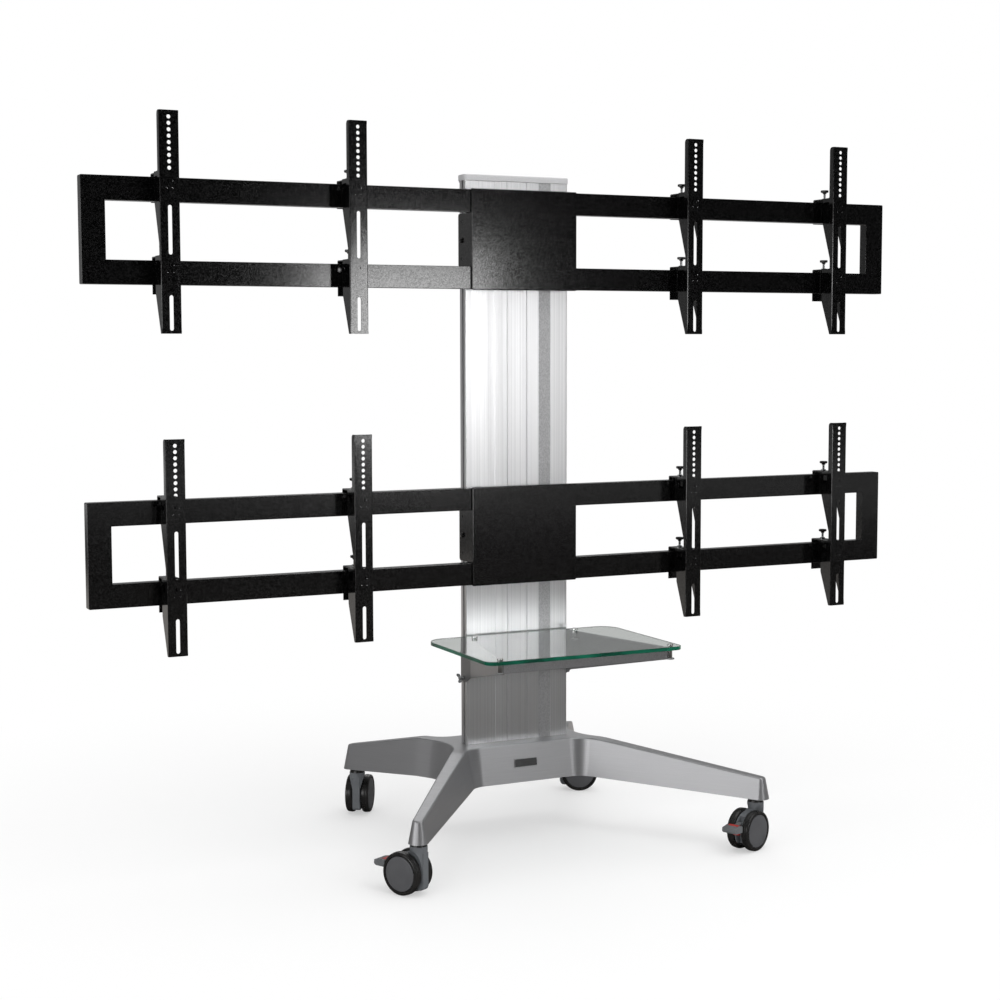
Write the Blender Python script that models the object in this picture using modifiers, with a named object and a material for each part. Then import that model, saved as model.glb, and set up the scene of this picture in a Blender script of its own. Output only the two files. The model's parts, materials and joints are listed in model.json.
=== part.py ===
"""Multi-screen television stand.

Two cross frames of square tube hold eight screen arms on one extruded column. The column
stands on a four-legged cast base with twin-wheel casters and carries a glass shelf.
"""
import math

import bmesh
import bpy
from mathutils import Matrix, Vector

# Driving dimensions in metres: X along the frames, Y from front to back, Z up from the floor.
GAP = 0.0003
RAIL_FRONT = -0.0036

FRAME_HALF = 1.0
FRAME_HEIGHT = 0.220
TUBE_HEIGHT = 0.050
TUBE_DEPTH = 0.025
TUBE_WALL = 0.002
UPPER_FRAME_TOP = 1.471
LOWER_FRAME_TOP = 0.8056

CENTRE_PLATE_HALF = 0.132
CENTRE_PLATE_FRONT = RAIL_FRONT - 0.006
CENTRE_PLATE_RISE = 0.002

BASE_TOP = 0.2115
BASE_UNDERSIDE = 0.125
LEG_END_UNDERSIDE = 0.112
BASE_DRAFT = 0.19
BASE_WALL = 0.007

COLUMN_HALF = 0.1296
COLUMN_FRONT = RAIL_FRONT + 0.0366
COLUMN_DEPTH = 0.072
COLUMN_TOP = 1.4938
COLUMN_WALL = 0.003
SLOT_SETBACK = 0.013
SLOT_WIDTH = 0.007
SLOT_DEPTH = 0.012
SLOT_CENTRE = COLUMN_FRONT + SLOT_SETBACK
CAP_OVERHANG = 0.003
CAP_HEIGHT = 0.0135

ARM_WIDTH = 0.0415
ARM_LENGTH = 0.450
ARM_WALL = 0.002
ARM_FRONT = RAIL_FRONT - 0.0586
ARM_ABOVE_RAIL = 0.1295
ARM_FLANGE_TOP = 0.0155
ARM_FLANGE_MIDDLE = 0.0110
ARM_FLANGE_FOOT = 0.0090
ARM_SIDE_REAR = RAIL_FRONT - 0.0165
HOOK_WIDTH = 0.030
HOOK_SHEET = 0.003
HOOK_CLEARANCE = 0.0055
HOOK_REAR = RAIL_FRONT + 0.031
SCREW_Y = RAIL_FRONT + 0.0125
SCREW_SIDESTEP = 0.0055
STEM_RADIUS = 0.003
UPPER_ARMS = (-0.8320, -0.4225, 0.4169, 0.8269)
LOWER_ARMS = (-0.8302, -0.4164, 0.4176, 0.8342)

SHELF_TOP = 0.465
GLASS = 0.008
SHELF_HALF = 0.239
SHELF_FRONT = RAIL_FRONT - 0.310
SHELF_BACK = RAIL_FRONT + 0.026
APRON_HEIGHT = 0.020
BRACKET_SHEET = 0.0025
SHELF_SCREW_HEIGHT = 0.3655
FRONT_POST = Vector((0.208, RAIL_FRONT - 0.300))
REAR_POST = Vector((0.1285, RAIL_FRONT - 0.006))
POST_RADIUS = 0.005

WHEEL_RADIUS = 0.0455
WHEEL_WIDTH = 0.019
WHEEL_INNER_FACE = 0.0095
TRAIL = 0.029
CASTER_STEM_RADIUS = 0.0185
FRONT_STEM = Vector((0.412, RAIL_FRONT - 0.336))
REAR_STEM = Vector((0.286, RAIL_FRONT + 0.326))
CASTER_HEADINGS = {
    "front_left": 118.0,
    "front_right": 202.6,
    "rear_left": 56.5,
    "rear_right": -23.0,
}

ALONG_X = Matrix(((0, 0, 1, 0), (1, 0, 0, 0), (0, 1, 0, 0), (0, 0, 0, 1)))
ALONG_Y = Matrix(((1, 0, 0, 0), (0, 0, -1, 0), (0, 1, 0, 0), (0, 0, 0, 1)))


def new_collection(name):
    made = bpy.data.collections.new(name)
    bpy.context.scene.collection.children.link(made)
    return made


def material(name, colour, roughness, metallic=0.0, alpha=1.0):
    made = bpy.data.materials.new(name)
    made.use_nodes = True
    shader = made.node_tree.nodes["Principled BSDF"]
    shader.inputs["Base Color"].default_value = (*colour, 1.0)
    shader.inputs["Roughness"].default_value = roughness
    shader.inputs["Metallic"].default_value = metallic
    shader.inputs["Alpha"].default_value = alpha
    return made


for old in list(bpy.data.objects):
    bpy.data.objects.remove(old)
STAND = new_collection("multi_screen_tv_stand")
CUTTERS = new_collection("cutters")

BLACK_COAT = material("black_powder_coat", (0.018, 0.018, 0.020), 0.45)
ANODISED = material("satin_anodised_column", (0.72, 0.72, 0.73), 0.30, 1.0)
CAST_METAL = material("brushed_cast_base", (0.50, 0.51, 0.53), 0.35, 1.0)
CAP_PLASTIC = material("light_grey_cap", (0.62, 0.62, 0.63), 0.50)
BRACKET_METAL = material("satin_bracket", (0.60, 0.60, 0.61), 0.35, 1.0)
CLEAR_GLASS = material("clear_glass", (0.80, 0.93, 0.89), 0.02, 0.0, 0.35)
POLISHED = material("polished_steel", (0.80, 0.80, 0.80), 0.12, 1.0)
HOUSING_PLASTIC = material("dark_blue_grey_housing", (0.10, 0.115, 0.13), 0.45)
WHEEL_RUBBER = material("black_wheel", (0.015, 0.015, 0.016), 0.55)
PEDAL_PLASTIC = material("grey_pedal", (0.12, 0.13, 0.14), 0.50)
PLATE_FINISH = material("dark_name_plate", (0.02, 0.02, 0.02), 0.40)


def mesh_from(bm, name="solid"):
    """Hand a bmesh over as a mesh whose faces point out."""
    bmesh.ops.recalc_face_normals(bm, faces=bm.faces)
    made = bpy.data.meshes.new(name)
    bm.to_mesh(made)
    bm.free()
    return made


def hidden_helper(name, data):
    """A cutter or guide: drawn as wire and kept out of the render."""
    helper = bpy.data.objects.new(name, data)
    helper.hide_render = True
    helper.display_type = "WIRE"
    CUTTERS.objects.link(helper)
    return helper


def evaluated_mesh(helper):
    """The mesh of a helper with its modifiers applied; the helper goes."""
    depsgraph = bpy.context.evaluated_depsgraph_get()
    made = bpy.data.meshes.new_from_object(helper.evaluated_get(depsgraph))
    bpy.data.objects.remove(helper)
    return made


def place(mesh, name, finish, position=(0, 0, 0), turn=0.0):
    """Make a finished piece of the stand, with its origin at position."""
    piece = bpy.data.objects.new(name, mesh)
    piece.location = position
    piece.rotation_euler = (0, 0, turn)
    if not mesh.materials:
        mesh.materials.append(finish)
        mesh.shade_smooth()
        mesh.set_sharp_from_angle(angle=math.radians(32))
    STAND.objects.link(piece)
    return piece


def box(low, high):
    bm = bmesh.new()
    bmesh.ops.create_cube(bm, size=1)
    low = Vector(low)
    high = Vector(high)
    bmesh.ops.scale(bm, vec=high - low, verts=bm.verts)
    bmesh.ops.translate(bm, vec=(low + high) / 2, verts=bm.verts)
    return mesh_from(bm)


def rod(start, end, radius, sides=12):
    bm = bmesh.new()
    start = Vector(start)
    end = Vector(end)
    axis = end - start
    bmesh.ops.create_cone(bm, cap_ends=True, segments=sides, radius1=radius, radius2=radius,
                          depth=axis.length)
    turn = Vector((0, 0, 1)).rotation_difference(axis).to_matrix().to_4x4()
    bm.transform(Matrix.Translation((start + end) / 2) @ turn)
    return mesh_from(bm)


def flat_solid(loops, thickness, matrix=None):
    """A plate from flat loops, the rim first and holes after it, centred on its own plane."""
    curve = bpy.data.curves.new("outline", "CURVE")
    curve.dimensions = "2D"
    curve.fill_mode = "BOTH"
    curve.extrude = thickness / 2
    for loop in loops:
        spline = curve.splines.new("POLY")
        spline.points.add(len(loop) - 1)
        for point, (u, v) in zip(spline.points, loop):
            point.co = (u, v, 0, 1)
        spline.use_cyclic_u = True
    mesh = evaluated_mesh(hidden_helper("outline", curve))
    bm = bmesh.new()
    bm.from_mesh(mesh)
    bmesh.ops.remove_doubles(bm, verts=bm.verts, dist=1e-6)
    bmesh.ops.dissolve_limit(bm, angle_limit=math.radians(0.5), verts=bm.verts, edges=bm.edges)
    if matrix:
        bm.transform(matrix)
    return mesh_from(bm)


def upright_solid(loops, bottom, top):
    """A plan outline raised from bottom to top."""
    middle = Matrix.Translation((0, 0, (bottom + top) / 2))
    return flat_solid(loops, top - bottom, middle)


def turned_solid(profile, sides):
    """Turn (radius, height) points, listed down the outer side, about Z."""
    mesh = bpy.data.meshes.new("profile")
    edges = [(i, i + 1) for i in range(len(profile) - 1)]
    mesh.from_pydata([(radius, 0, height) for radius, height in profile], edges, [])
    guide = hidden_helper("profile", mesh)
    screw = guide.modifiers.new("turn", "SCREW")
    screw.angle = math.tau
    screw.steps = sides
    screw.render_steps = sides
    screw.use_merge_vertices = True
    screw.merge_threshold = 1e-5
    bm = bmesh.new()
    bm.from_mesh(evaluated_mesh(guide))
    return mesh_from(bm)


def gathered(meshes):
    """Several separate bodies in one mesh, to cut or join in one step."""
    bm = bmesh.new()
    for mesh in meshes:
        bm.from_mesh(mesh)
    return mesh_from(bm)


def boolean(mesh, operation, others):
    """Join the other meshes to a mesh, or cut them from it, one after another."""
    work = hidden_helper("work", mesh)
    helpers = []
    for other in others:
        helper = hidden_helper(operation.lower(), other)
        step = work.modifiers.new(helper.name, "BOOLEAN")
        step.operation = operation
        step.solver = "EXACT"
        step.object = helper
        helpers.append(helper)
    result = evaluated_mesh(work)
    for helper in helpers:
        bpy.data.objects.remove(helper)
    bm = bmesh.new()
    bm.from_mesh(result)
    bmesh.ops.dissolve_limit(bm, angle_limit=math.radians(0.5), verts=bm.verts, edges=bm.edges)
    return mesh_from(bm)


def joined(mesh, others):
    return boolean(mesh, "UNION", others)


def carved(mesh, others):
    return boolean(mesh, "DIFFERENCE", others)


def rounded_edges(mesh, width, chosen=None):
    """Bevel a mesh's sharp edges, or only those that the chosen test accepts."""
    bm = bmesh.new()
    bm.from_mesh(mesh)
    sharp = [edge for edge in bm.edges if edge.calc_face_angle(0) > math.radians(40)]
    if chosen:
        sharp = [edge for edge in sharp if chosen(edge)]
    bmesh.ops.bevel(bm, geom=sharp, offset=width, segments=1, profile=0.5, affect="EDGES",
                    material=-1)
    return mesh_from(bm)


def arc(centre, radius, start, end, steps):
    """Points on an arc, from one angle in degrees to another."""
    points = []
    for i in range(steps + 1):
        angle = math.radians(start + (end - start) * i / steps)
        points.append((centre[0] + radius * math.cos(angle), centre[1] + radius * math.sin(angle)))
    return points


def fillet(before, corner, after, radius, steps):
    """Arc points that round the corner between two straight stretches."""
    back = (before - corner).normalized()
    ahead = (after - corner).normalized()
    half = back.angle(ahead) / 2
    centre = corner + (back + ahead).normalized() * radius / math.sin(half)
    first = corner + back * radius / math.tan(half) - centre
    turn = math.pi - 2 * half
    if back.x * ahead.y - back.y * ahead.x > 0:
        turn = -turn
    points = []
    for i in range(steps + 1):
        angle = turn * i / steps
        points.append(centre + Matrix.Rotation(angle, 2) @ first)
    return points


def rounded_loop(corners, steps=3):
    """A closed outline from (x, y, radius) corners."""
    points = []
    places = [Vector(corner[:2]) for corner in corners]
    for i, corner in enumerate(corners):
        if corner[2] == 0:
            points.append(tuple(places[i]))
            continue
        after = places[(i + 1) % len(places)]
        arc_points = fillet(places[i - 1], places[i], after, corner[2], steps)
        points.extend(tuple(point) for point in arc_points)
    return points


def circle(x, y, radius, sides):
    return arc((x, y), radius, 0, 360 - 360 / sides, sides - 1)


def slot_loop(x, low, high, width, steps=3):
    """An upright slot with round ends."""
    radius = width / 2
    top = arc((x, high - radius), radius, 0, 180, steps)
    bottom = arc((x, low + radius), radius, 180, 360, steps)
    return top + bottom


# The cast base: a hub under the column and four legs that slope down to the casters.
FRONT_FACE = RAIL_FRONT - 0.004
REAR_FACE = RAIL_FRONT + 0.140
SIDE_FILLET = 0.120
END_FILLET = 0.060
LEG_ROOT_HALF = 0.0165
LEG_END_HALF = 0.0115
LEG_CORNER = 0.005
PIN_RADIUS = 0.006
PIN_TOP = 0.138
FRONT_LEG = {
    "root": Vector((0.1675, RAIL_FRONT - 0.009)),
    "end": Vector((0.4235, RAIL_FRONT - 0.355)),
    "start": 0.018,
    "end_top": 0.160,
}
REAR_LEG = {
    "root": Vector((0.1600, RAIL_FRONT + 0.1250)),
    "end": Vector((0.2979, RAIL_FRONT + 0.3450)),
    "start": 0.043,
    "end_top": 0.170,
}


def mirrored(leg):
    flipped = dict(leg)
    flipped["root"] = Vector((-leg["root"].x, leg["root"].y))
    flipped["end"] = Vector((-leg["end"].x, leg["end"].y))
    return flipped


def leg_points(leg, inset, shorten):
    """Right and left side points of one leg, root to end, each with its top and bottom height."""
    run = leg["end"] - leg["root"]
    ahead = run.normalized()
    left = Vector((-ahead.y, ahead.x))
    finish = run.length - shorten
    sides = {"right": [], "left": []}
    stations = (leg["start"], (leg["start"] + finish) / 2, finish - LEG_CORNER, finish)
    for station in stations:
        share = (station - leg["start"]) / (run.length - leg["start"])
        half = LEG_ROOT_HALF + (LEG_END_HALF - LEG_ROOT_HALF) * share - inset
        if station == finish:
            half -= LEG_CORNER * 0.8
        top = BASE_TOP + (leg["end_top"] - BASE_TOP) * share
        bottom = BASE_UNDERSIDE + (LEG_END_UNDERSIDE - BASE_UNDERSIDE) * share
        centre = leg["root"] + ahead * station
        sides["right"].append((centre - left * half, top, bottom))
        sides["left"].append((centre + left * half, top, bottom))
    return sides


def line_meets(start, through, face_y):
    """Where the line through two points reaches a given Y."""
    share = (face_y - start.y) / (through.y - start.y)
    return start + (through - start) * share


def lines_meet(p, q, r, s):
    """Where the line through p and q meets the line through r and s."""
    first = q - p
    second = s - r
    across = first.x * second.y - first.y * second.x
    share = ((r - p).x * second.y - (r - p).y * second.x) / across
    return p + first * share


def valley(leaving, arriving, face_y, inset):
    """Outline points between the left side of one leg and the right side of the next."""
    out_root, out_end = leaving[0][0], leaving[2][0]
    in_root, in_end = arriving[0][0], arriving[2][0]
    if face_y is None:
        corner = lines_meet(out_root, out_end, in_root, in_end)
        points = fillet(out_root, corner, in_root, SIDE_FILLET + inset, 6)
    else:
        first = line_meets(out_root, out_end, face_y)
        second = line_meets(in_root, in_end, face_y)
        points = fillet(out_root, first, second, END_FILLET + inset, 4)
        points += fillet(first, second, in_root, END_FILLET + inset, 4)
    return [(point, BASE_TOP, BASE_UNDERSIDE) for point in points]


def base_solid(inset=0.0, shorten=0.0, top_drop=0.0, bottom_drop=0.0):
    """Loft the base between its top outline and the wider outline of its underside."""
    legs = (mirrored(FRONT_LEG), FRONT_LEG, REAR_LEG, mirrored(REAR_LEG))
    sides = [leg_points(leg, inset, shorten) for leg in legs]
    faces_between = (FRONT_FACE + inset, None, REAR_FACE - inset, None)
    outline = []
    hub = []
    legs_at = []
    for i, face_y in enumerate(faces_between):
        start = len(outline)
        outline += sides[i]["right"]
        outline += reversed(sides[i]["left"])
        legs_at.append(start)
        hub += [start, len(outline) - 1]
        gap_points = valley(sides[i]["left"], sides[(i + 1) % 4]["right"], face_y, inset)
        hub += range(len(outline), len(outline) + len(gap_points))
        outline += gap_points
    bm = bmesh.new()
    top = []
    bottom = []
    for i, (point, high, low) in enumerate(outline):
        before = (point - outline[i - 1][0]).normalized()
        after = (outline[(i + 1) % len(outline)][0] - point).normalized()
        out = Vector((before.y + after.y, -before.x - after.x)) / (1 + before.dot(after))
        wide = point + out * BASE_DRAFT * (high - low + bottom_drop)
        top.append(bm.verts.new((point.x, point.y, high - top_drop)))
        bottom.append(bm.verts.new((wide.x, wide.y, low - bottom_drop)))
    count = len(outline)
    for i in range(count):
        after = (i + 1) % count
        bm.faces.new((bottom[i], bottom[after], top[after], top[i]))
    for ring in (top, bottom):
        bm.faces.new([ring[i] for i in hub])
        for start in legs_at:
            for step in range(3):
                right = start + step
                left = start + 7 - step
                bm.faces.new((ring[right], ring[right + 1], ring[left - 1], ring[left]))
    return mesh_from(bm)


def base_casting():
    shell = base_solid()
    rim = rounded_edges(shell, 0.003, lambda edge: is_top_rim(edge))
    cavity = base_solid(inset=BASE_WALL, shorten=0.060, top_drop=BASE_WALL, bottom_drop=0.004)
    bores = []
    for stem in (FRONT_STEM, REAR_STEM):
        for side in (-1, 1):
            foot = (side * stem.x, stem.y, LEG_END_UNDERSIDE - 0.02)
            bores.append(rod(foot, (side * stem.x, stem.y, PIN_TOP + GAP), PIN_RADIUS + 0.0005, 16))
    solid = carved(rim, [cavity, gathered(bores)])
    place(solid, "base_casting", CAST_METAL)


def is_top_rim(edge):
    """True for an edge between the sloping top and a side wall."""
    upness = sorted(abs(face.normal.z) for face in edge.link_faces)
    return upness[0] < 0.5 and upness[1] > 0.7 and min(vert.co.z for vert in edge.verts) > 0.15


def name_plate():
    length, height, thick = 0.058, 0.019, 0.0016
    middle = 0.1685
    lean = math.atan(BASE_DRAFT)
    face = FRONT_FACE - BASE_DRAFT * (BASE_TOP - middle)
    solid = rounded_edges(box((-length / 2, -thick, -height / 2), (length / 2, 0, height / 2)), 0.0004)
    plate = place(solid, "name_plate", PLATE_FINISH, (-0.003, face - GAP * 1.5, middle))
    plate.rotation_euler = (-lean, 0, 0)


# The column: a hollow extrusion with a guide slot in each side, and its cap.
def column_outline():
    """Right half of the section from the front centre to the back, then its mirror image."""
    half = COLUMN_HALF
    slot_low = SLOT_SETBACK - SLOT_WIDTH / 2
    slot_high = SLOT_SETBACK + SLOT_WIDTH / 2
    right = [
        (0.0182, 0.0), (0.019, 0.0012), (0.0198, 0.0),
        (0.0550, 0.0), (0.0555, 0.0010), (0.0855, 0.0010), (0.0860, 0.0),
        (half - 0.002, 0.0), (half, 0.002),
        (half, slot_low), (half - SLOT_DEPTH, slot_low), (half - SLOT_DEPTH, slot_high), (half, slot_high),
        (half, 0.0284), (0.1175, 0.0350), (0.1140, 0.0400),
        (0.1120, 0.0600), (0.1060, 0.0680), (0.0960, COLUMN_DEPTH),
    ]
    left = [(-x, y) for x, y in reversed(right)]
    return [(x, COLUMN_FRONT + y) for x, y in right + left]


def column_cells():
    """The three hollows that run up inside the section."""
    wall = COLUMN_WALL
    front = COLUMN_FRONT + wall
    back = COLUMN_FRONT + COLUMN_DEPTH - wall
    web = 0.060
    middle = [(-web, front), (web, front), (web, back), (-web, back)]
    slot_floor = COLUMN_HALF - SLOT_DEPTH - wall
    side = [
        (web + wall, front), (slot_floor, front), (slot_floor, COLUMN_FRONT + 0.030),
        (0.1105, COLUMN_FRONT + 0.0385), (0.1085, COLUMN_FRONT + 0.059), (0.094, back), (web + wall, back),
    ]
    return [middle, side, [(-x, y) for x, y in side]]


def column():
    solid = upright_solid([column_outline(), *column_cells()], BASE_TOP + GAP, COLUMN_TOP)
    place(solid, "column_extrusion", ANODISED)
    half = COLUMN_HALF + CAP_OVERHANG
    front = COLUMN_FRONT - CAP_OVERHANG
    back = COLUMN_FRONT + COLUMN_DEPTH + CAP_OVERHANG
    right = [(half, front, 0.008), (half, COLUMN_FRONT + 0.030, 0.006), (0.118, COLUMN_FRONT + 0.042, 0.010),
             (0.113, back, 0.014)]
    left = [(-x, y, radius) for x, y, radius in reversed(right)]
    bottom = COLUMN_TOP + GAP
    cap = upright_solid([rounded_loop(right + left, 3)], bottom, bottom + CAP_HEIGHT)
    place(rounded_edges(cap, 0.0015, lambda edge: min(vert.co.z for vert in edge.verts) > bottom + 0.01),
          "column_top_cap", CAP_PLASTIC)
    foot = box((-0.057, COLUMN_FRONT + 0.006, BASE_TOP + GAP), (0.057, COLUMN_FRONT + 0.066, BASE_TOP + 0.010))
    place(foot, "column_foot_plate", BRACKET_METAL)


# A cross frame: two wings of rectangular tube, a centre plate in front and a bracket behind.
def wing(side, top):
    """One half of a frame: upper rail, end post and lower rail of one tube size."""
    bottom = top - FRAME_HEIGHT
    inner = 0.0005

    def u_loop(outer, rail_low, rail_high, window_end, start):
        return [
            (start, rail_high), (outer, rail_high), (outer, rail_low), (start, rail_low),
            (start, rail_low + TUBE_HEIGHT - 2 * (top - rail_high)),
            (window_end, rail_low + TUBE_HEIGHT - 2 * (top - rail_high)),
            (window_end, rail_high - TUBE_HEIGHT + 2 * (top - rail_high)),
            (start, rail_high - TUBE_HEIGHT + 2 * (top - rail_high)),
        ]

    post = FRAME_HALF - TUBE_HEIGHT
    wall = TUBE_WALL
    outside = u_loop(FRAME_HALF, bottom, top, post, inner)
    hollow = u_loop(FRAME_HALF - wall, bottom + wall, top - wall, post + wall, inner - 0.01)
    middle_y = RAIL_FRONT + TUBE_DEPTH / 2
    stance = Matrix.Translation((0, middle_y, 0)) @ ALONG_Y
    solid = rounded_edges(flat_solid([outside], TUBE_DEPTH, stance), 0.0015,
                          lambda edge: max(abs(vert.co.x) for vert in edge.verts) > 0.1)
    cavity = flat_solid([hollow], TUBE_DEPTH - 2 * wall, stance)
    solid = carved(solid, [cavity])
    if side < 0:
        solid.transform(Matrix.Scale(-1, 4, (1, 0, 0)))
        solid.flip_normals()
    return solid


def centre_plate(top):
    rise = CENTRE_PLATE_RISE
    low = (-CENTRE_PLATE_HALF, CENTRE_PLATE_FRONT, top - FRAME_HEIGHT - rise)
    high = (CENTRE_PLATE_HALF, RAIL_FRONT - GAP, top + rise)
    tray = rounded_edges(box(low, high), 0.0015,
                         lambda edge: min(vert.co.y for vert in edge.verts) < CENTRE_PLATE_FRONT + 1e-6)
    edge_wall = 0.0025
    pocket = box((low[0] + edge_wall, low[1] + 0.0022, low[2] + edge_wall),
                 (high[0] - edge_wall, high[1] + 0.01, high[2] - edge_wall))
    return carved(tray, [pocket])


def column_bracket(top):
    """Behind the rails: a web bolted to them and two cheeks that grip the column's sides."""
    inner = COLUMN_HALF + 0.0004
    outer = CENTRE_PLATE_HALF
    web_front = RAIL_FRONT + TUBE_DEPTH + GAP
    web_back = web_front + 0.003
    front = RAIL_FRONT
    back = RAIL_FRONT + 0.068
    half_plan = [
        (inner, web_front), (inner, front), (outer, front), (outer, back), (inner, back), (inner, web_back),
    ]
    plan = half_plan + [(-x, y) for x, y in reversed(half_plan)]
    middle = top - FRAME_HEIGHT / 2
    window_half = FRAME_HEIGHT / 2 - TUBE_HEIGHT - GAP
    cheeks = upright_solid([plan], middle - window_half, middle + window_half)
    web = box((-0.118, web_front, middle - 0.099), (0.118, web_back, middle + 0.099))
    fittings = [web]
    for side in (-1, 1):
        key = sorted((side * (COLUMN_HALF - 0.006), side * (inner + 0.001)))
        key_half = SLOT_WIDTH / 2 - 0.001
        fittings.append(box((key[0], SLOT_CENTRE - key_half, middle - 0.050),
                            (key[1], SLOT_CENTRE + key_half, middle + 0.050)))
        fittings.append(rod((side * (outer - 0.001), SLOT_CENTRE, middle),
                            (side * (outer + 0.004), SLOT_CENTRE, middle), 0.0065, 12))
    return joined(cheeks, fittings)


def cross_frame(prefix, top):
    for side, word in ((-1, "left"), (1, "right")):
        place(wing(side, top), f"{prefix}_{word}_wing", BLACK_COAT)
    place(centre_plate(top), f"{prefix}_centre_plate", BLACK_COAT)
    place(column_bracket(top), f"{prefix}_column_bracket", BLACK_COAT)


# A screen arm: a perforated channel that hooks over both rails of a frame.
def arm_side_outline():
    """Side view of a flange: (y, z) with z = 0 at the arm's top."""
    deep = ARM_SIDE_REAR - ARM_FRONT
    hook_top = -(ARM_ABOVE_RAIL - HOOK_CLEARANCE - HOOK_SHEET)
    upper_rail_bottom = -(ARM_ABOVE_RAIL + TUBE_HEIGHT)
    second_hook = hook_top - (FRAME_HEIGHT - TUBE_HEIGHT)
    lower_rail_bottom = upper_rail_bottom - (FRAME_HEIGHT - TUBE_HEIGHT)
    corners = [
        (0, 0, 0), (0, -ARM_LENGTH, 0), (ARM_FLANGE_FOOT, -ARM_LENGTH, 0.003),
        (deep, lower_rail_bottom - 0.020, 0.004), (deep, second_hook, 0), (ARM_FLANGE_MIDDLE, second_hook, 0),
        (ARM_FLANGE_MIDDLE, upper_rail_bottom - 0.088, 0), (deep, upper_rail_bottom, 0), (deep, hook_top, 0),
        (ARM_FLANGE_TOP, hook_top, 0), (ARM_FLANGE_TOP, 0, 0.008),
    ]
    return [(ARM_FRONT + y, z) for y, z in rounded_loop(corners, 2)]


def hook_outline(rail_top, leg_below):
    """Side view of a hook: a saddle that sits over the rail, with a leg before and behind it."""
    under = rail_top + HOOK_CLEARANCE
    over = under + HOOK_SHEET
    inside = HOOK_REAR - HOOK_SHEET
    rail_bottom = rail_top - TUBE_HEIGHT
    before = RAIL_FRONT - 0.0005
    return [(ARM_FRONT + ARM_WALL / 2, under), (before - HOOK_SHEET, under), (before - HOOK_SHEET, rail_bottom),
            (before, rail_bottom), (before, under), (inside, under), (inside, rail_bottom - leg_below),
            (HOOK_REAR, rail_bottom - leg_below), (HOOK_REAR, over - 0.002), (HOOK_REAR - 0.002, over),
            (ARM_FRONT + ARM_WALL / 2, over)]


def arm_mesh():
    """The arm with its top at z = 0 and its centre at x = 0."""
    rails = (-ARM_ABOVE_RAIL, -ARM_ABOVE_RAIL - FRAME_HEIGHT + TUBE_HEIGHT)
    block = flat_solid([arm_side_outline()], ARM_WIDTH, ALONG_X)
    inner_half = ARM_WIDTH / 2 - ARM_WALL
    trough = box((-inner_half, ARM_FRONT + ARM_WALL, -ARM_LENGTH - 0.01), (inner_half, ARM_FRONT + 0.2, 0.01))
    channel = carved(block, [trough])
    fittings = []
    for rail_top, leg_below in zip(rails, (0.001, 0.019)):
        under = rail_top + HOOK_CLEARANCE
        fittings.append(flat_solid([hook_outline(rail_top, leg_below)], HOOK_WIDTH, ALONG_X))
        fittings.append(box((-inner_half - 0.001, ARM_FRONT + 0.020, under),
                            (inner_half + 0.001, ARM_SIDE_REAR - 0.001, under + HOOK_SHEET)))
    whole = joined(channel, fittings)
    through = Matrix.Translation((0, ARM_FRONT, 0)) @ ALONG_Y
    holes = []
    for i in range(9):
        holes.append(flat_solid([circle(0, -0.0133 - i * 0.0128, 0.0041, 8)], 0.010, through))
    for depth in (0.1404, 0.3106):
        holes.append(flat_solid([circle(0, -depth, 0.0036, 8)], 0.010, through))
    for start, end in ((0.190, 0.290), (0.372, 0.444)):
        holes.append(flat_solid([slot_loop(0, -end, -start, 0.0083, 2)], 0.010, through))
    for rail_top in rails:
        holes.append(rod((SCREW_SIDESTEP, SCREW_Y, rail_top + 0.002), (SCREW_SIDESTEP, SCREW_Y, rail_top + 0.02),
                         STEM_RADIUS + 0.0005, 10))
        holes.append(box((-0.03, ARM_FRONT + 0.017, rail_top - 0.018), (0.03, ARM_SIDE_REAR - 0.005, rail_top - 0.001)))
    return carved(whole, [gathered(holes)])


def thumbscrew_mesh():
    """Knurled head, lock nut and stem; z = 0 is the top of the rail that it presses on."""
    profile = [(0, 0.0315), (0.0086, 0.0315), (0.0095, 0.0300), (0.0090, 0.0262), (0.0042, 0.0240),
               (0.0042, 0.0126), (0.0055, 0.0126), (0.0055, 0.0088), (STEM_RADIUS, 0.0088), (STEM_RADIUS, GAP),
               (0, GAP)]
    return turned_solid(profile, 10)


def arms():
    arm = arm_mesh()
    screw = thumbscrew_mesh()
    rows = (("upper", UPPER_FRAME_TOP, UPPER_ARMS), ("lower", LOWER_FRAME_TOP, LOWER_ARMS))
    for word, top, centres in rows:
        for number, x in enumerate(centres, 1):
            place(arm, f"{word}_arm_{number}", BLACK_COAT, (x, 0, top + ARM_ABOVE_RAIL))
            for spot, rail_top in (("top", top), ("bottom", top - FRAME_HEIGHT + TUBE_HEIGHT)):
                place(screw, f"{word}_arm_{number}_{spot}_thumbscrew", BLACK_COAT,
                      (x + SCREW_SIDESTEP, SCREW_Y, rail_top))


# The shelf: glass on four posts, carried by a folded bracket that clamps to the column.
def post_places():
    places = {}
    for side, word in ((-1, "left"), (1, "right")):
        places[f"front_{word}"] = Vector((side * FRONT_POST.x, FRONT_POST.y))
        places[f"rear_{word}"] = Vector((side * REAR_POST.x, REAR_POST.y))
    return places


def shelf_glass():
    corners = [(-SHELF_HALF, SHELF_FRONT, 0.022), (SHELF_HALF, SHELF_FRONT, 0.022),
               (SHELF_HALF, SHELF_BACK, 0.045), (-SHELF_HALF, SHELF_BACK, 0.045)]
    holes = [circle(spot.x, spot.y, 0.0045, 12) for spot in post_places().values()]
    solid = upright_solid([rounded_loop(corners, 4), *holes], SHELF_TOP - GLASS, SHELF_TOP)
    place(solid, "shelf_glass", CLEAR_GLASS)


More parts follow.
